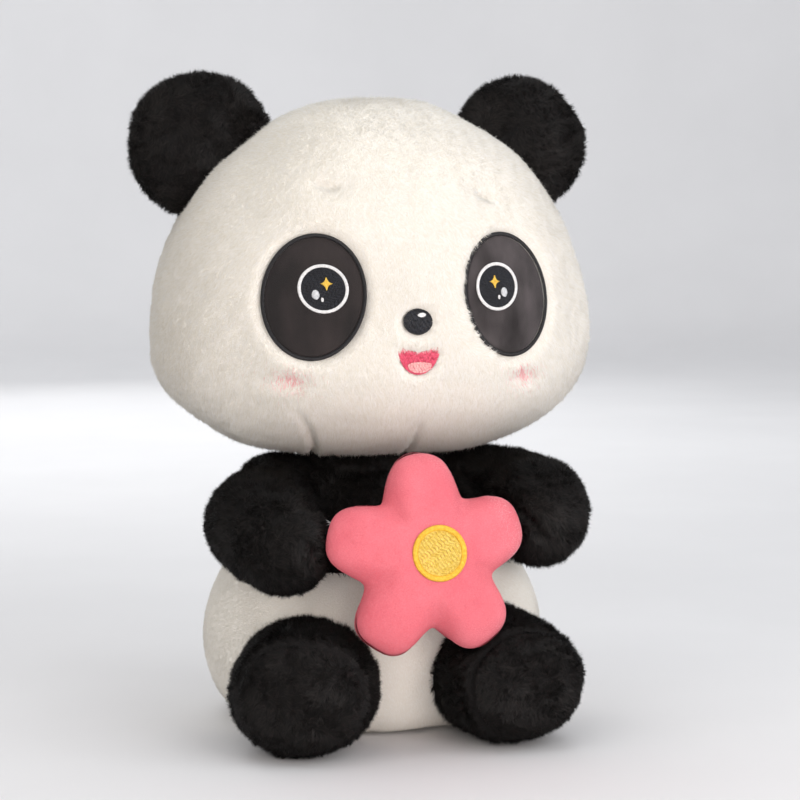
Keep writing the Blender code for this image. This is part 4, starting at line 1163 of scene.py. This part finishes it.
def flower_points(x, z, lift):
    """Points on the flower's front, lifted off it, with their normals."""
    step = 0.0006
    slope_x = (flower_height(x + step, z) - flower_height(x - step, z)) / (2 * step)
    slope_z = (flower_height(x, z + step) - flower_height(x, z - step)) / (2 * step)
    normals = unit(np.stack([-slope_x, np.full_like(x, -1.0), -slope_z], axis=-1))
    points = np.stack([x, -flower_height(x, z), z], axis=-1) + np.asarray(lift)[..., None] * normals
    matrix = flower_frame()
    return points @ matrix[:3, :3].T + matrix[:3, 3], normals @ matrix[:3, :3].T


def flower_comb(points, normals):
    """The velvet is stroked down and a little to one side."""
    swirl = along_surface(waves(points, 91, 0.03), normals)
    return along_surface(np.array([0.3, 0.0, -1.0]), normals) + 0.5 * swirl


def painted_light_tint(points, draw):
    """Paints the nap paler towards the upper right, seen from the front, as painted light from the window
    there, and paler towards the rim as painted sheen.
    """
    x, _, z = (points - np.array(FLOWER_CENTRE)).T
    painted_paleness = 9.0 * (0.8 * x + 0.6 * z) + 0.55 * ease(0.045, 0.072, np.hypot(x, z))
    value = painted_paleness + waves(points, 97, 0.03)[:, 0] * 0.12 + draw.normal(size=len(points)) * 0.16
    return np.clip(np.round(0.9 + 1.6 * value), 0, 3).astype(int)


def add_flower():
    """Front and back of the velvet flower."""
    columns, rows = 300, 60
    turn = 2 * pi * np.arange(columns) / columns
    shares = np.sin(np.linspace(0, pi / 2, rows)) ** 0.9
    rim = petal_reach(turn)
    across = (shares[:, None] * rim * np.cos(turn)).reshape(-1)
    up = (shares[:, None] * rim * np.sin(turn)).reshape(-1)
    quads = sheet_of(rows, columns, True)
    in_disc = np.hypot(across - DISC_CENTRE[0], up - DISC_CENTRE[1]) < DISC_RADIUS + DISC_BORDER
    for front, name, filling in ((-1, "flower_front", ("flower_stuffing",)), (1, "flower_back", ())):
        points = np.column_stack([across, front * flower_height(across, up), up])
        shell = Shell(points, quads[:, ::front]).placed(flower_frame())
        shell = shell.moved(waves(shell.points, 95 + front, 0.035)[:, 0] * 0.0006)
        shell.growth = np.where(in_disc & (front < 0), 0.0, 1.0)
        stands_for = (name, *filling)
        # The tints paint light from the window and sheen at the rim into the velvet
        add_fur(name, "", shell, PINK_VELVET, "flower", stands_for, 600 + front, flower_comb, painted_light_tint)


def add_disc():
    """The flower's stitched middle and its satin border."""

    def face(x, z, lift):
        return flower_points(DISC_CENTRE[0] + x, DISC_CENTRE[1] + z, lift + 0.0008)

    middle = filled(face, in_ellipse((DISC_RADIUS, DISC_RADIUS)), DISC_RADIUS, *DISC_ROWS)
    add_threads("disc_stitches", middle, DISC_YARN, DISC_THREADS, "flower", ("flower_disc",))
    inner, outer = DISC_RADIUS - 0.0003, DISC_RADIUS + DISC_BORDER
    border = satin_ring(face, (inner, inner), (outer, outer), 0.0, *DISC_SATIN)
    stands_for = ("flower_disc_border",)
    add_threads("disc_border_stitches", border, DISC_YARN, [GOLD_THREAD], "flower", stands_for)


# Stage -------------------------------------------------------------------------


def add_stage():
    """A plain pale floor that sweeps up into a wall all round."""
    shell = turned(smooth_line(STAGE_LINE, 60), 96)
    shell.points[:, 2] = np.maximum(shell.points[:, 2], 0)
    mesh = bpy.data.meshes.new("backdrop")
    mesh.from_pydata(shell.points.tolist(), [], shell.quads.tolist())
    mesh.shade_smooth()
    backdrop = bpy.data.objects.new("backdrop", mesh)
    bpy.context.scene.collection.objects.link(backdrop)
    paint = Nodes("backdrop_paper", 0.9)
    paint.colour(paint.blend(paint.noise(3.0), [(0.3, (0.76, 0.76, 0.77)), (0.7, (0.79, 0.79, 0.80))]))
    mesh.materials.append(paint.material)


def add_light(name, place, target, size, power, colour):
    """One soft square light that looks at a target."""
    data = bpy.data.lights.new(name, "AREA")
    data.shape, data.size, data.energy, data.color = "SQUARE", size, power, colour
    made = bpy.data.objects.new(name, data)
    bpy.context.scene.collection.objects.link(made)
    made.location = place
    made.rotation_euler = (Vector(target) - Vector(place)).to_track_quat("-Z", "Y").to_euler()


def add_world():
    """Soft light from the surroundings, and colours shown as they are."""
    world = bpy.data.worlds.new("studio")
    bpy.context.scene.world = world
    world.use_nodes = True
    sky = world.node_tree.nodes["Background"]
    sky.inputs["Color"].default_value = (0.80, 0.82, 0.86, 1)
    sky.inputs["Strength"].default_value = 0.45
    bpy.context.scene.view_settings.view_transform = "Standard"


def add_camera():
    """The photograph's viewing angle."""
    azimuth, elevation, distance = radians(-16), radians(5.7), 1.8
    target = Vector((0.0211, -0.0061, 0.247))
    back = Vector((sin(azimuth) * cos(elevation), -cos(azimuth) * cos(elevation), sin(elevation)))
    data = bpy.data.cameras.new("camera")
    data.lens, data.sensor_width = 103.05, 36.0
    made = bpy.data.objects.new("camera", data)
    made.location = target + distance * back
    made.rotation_euler = (-back).to_track_quat("-Z", "Y").to_euler()
    bpy.context.scene.collection.objects.link(made)
    bpy.context.scene.camera = made


add_camera()
add_stage()
add_world()
for light in LIGHTS:
    add_light(*light)
add_head()
for side, word in SIDES:
    add_patch(side, word)
    add_eye(side, word)
    add_brow_stitch(side, word)
    add_ear(side, word)
    add_leg(side, word)
    add_arm(side, word)
    add_paw_thread(side, word)
add_muzzle()
add_body()
add_neck()
add_flower()
add_disc()

bpy.context.view_layer.update()
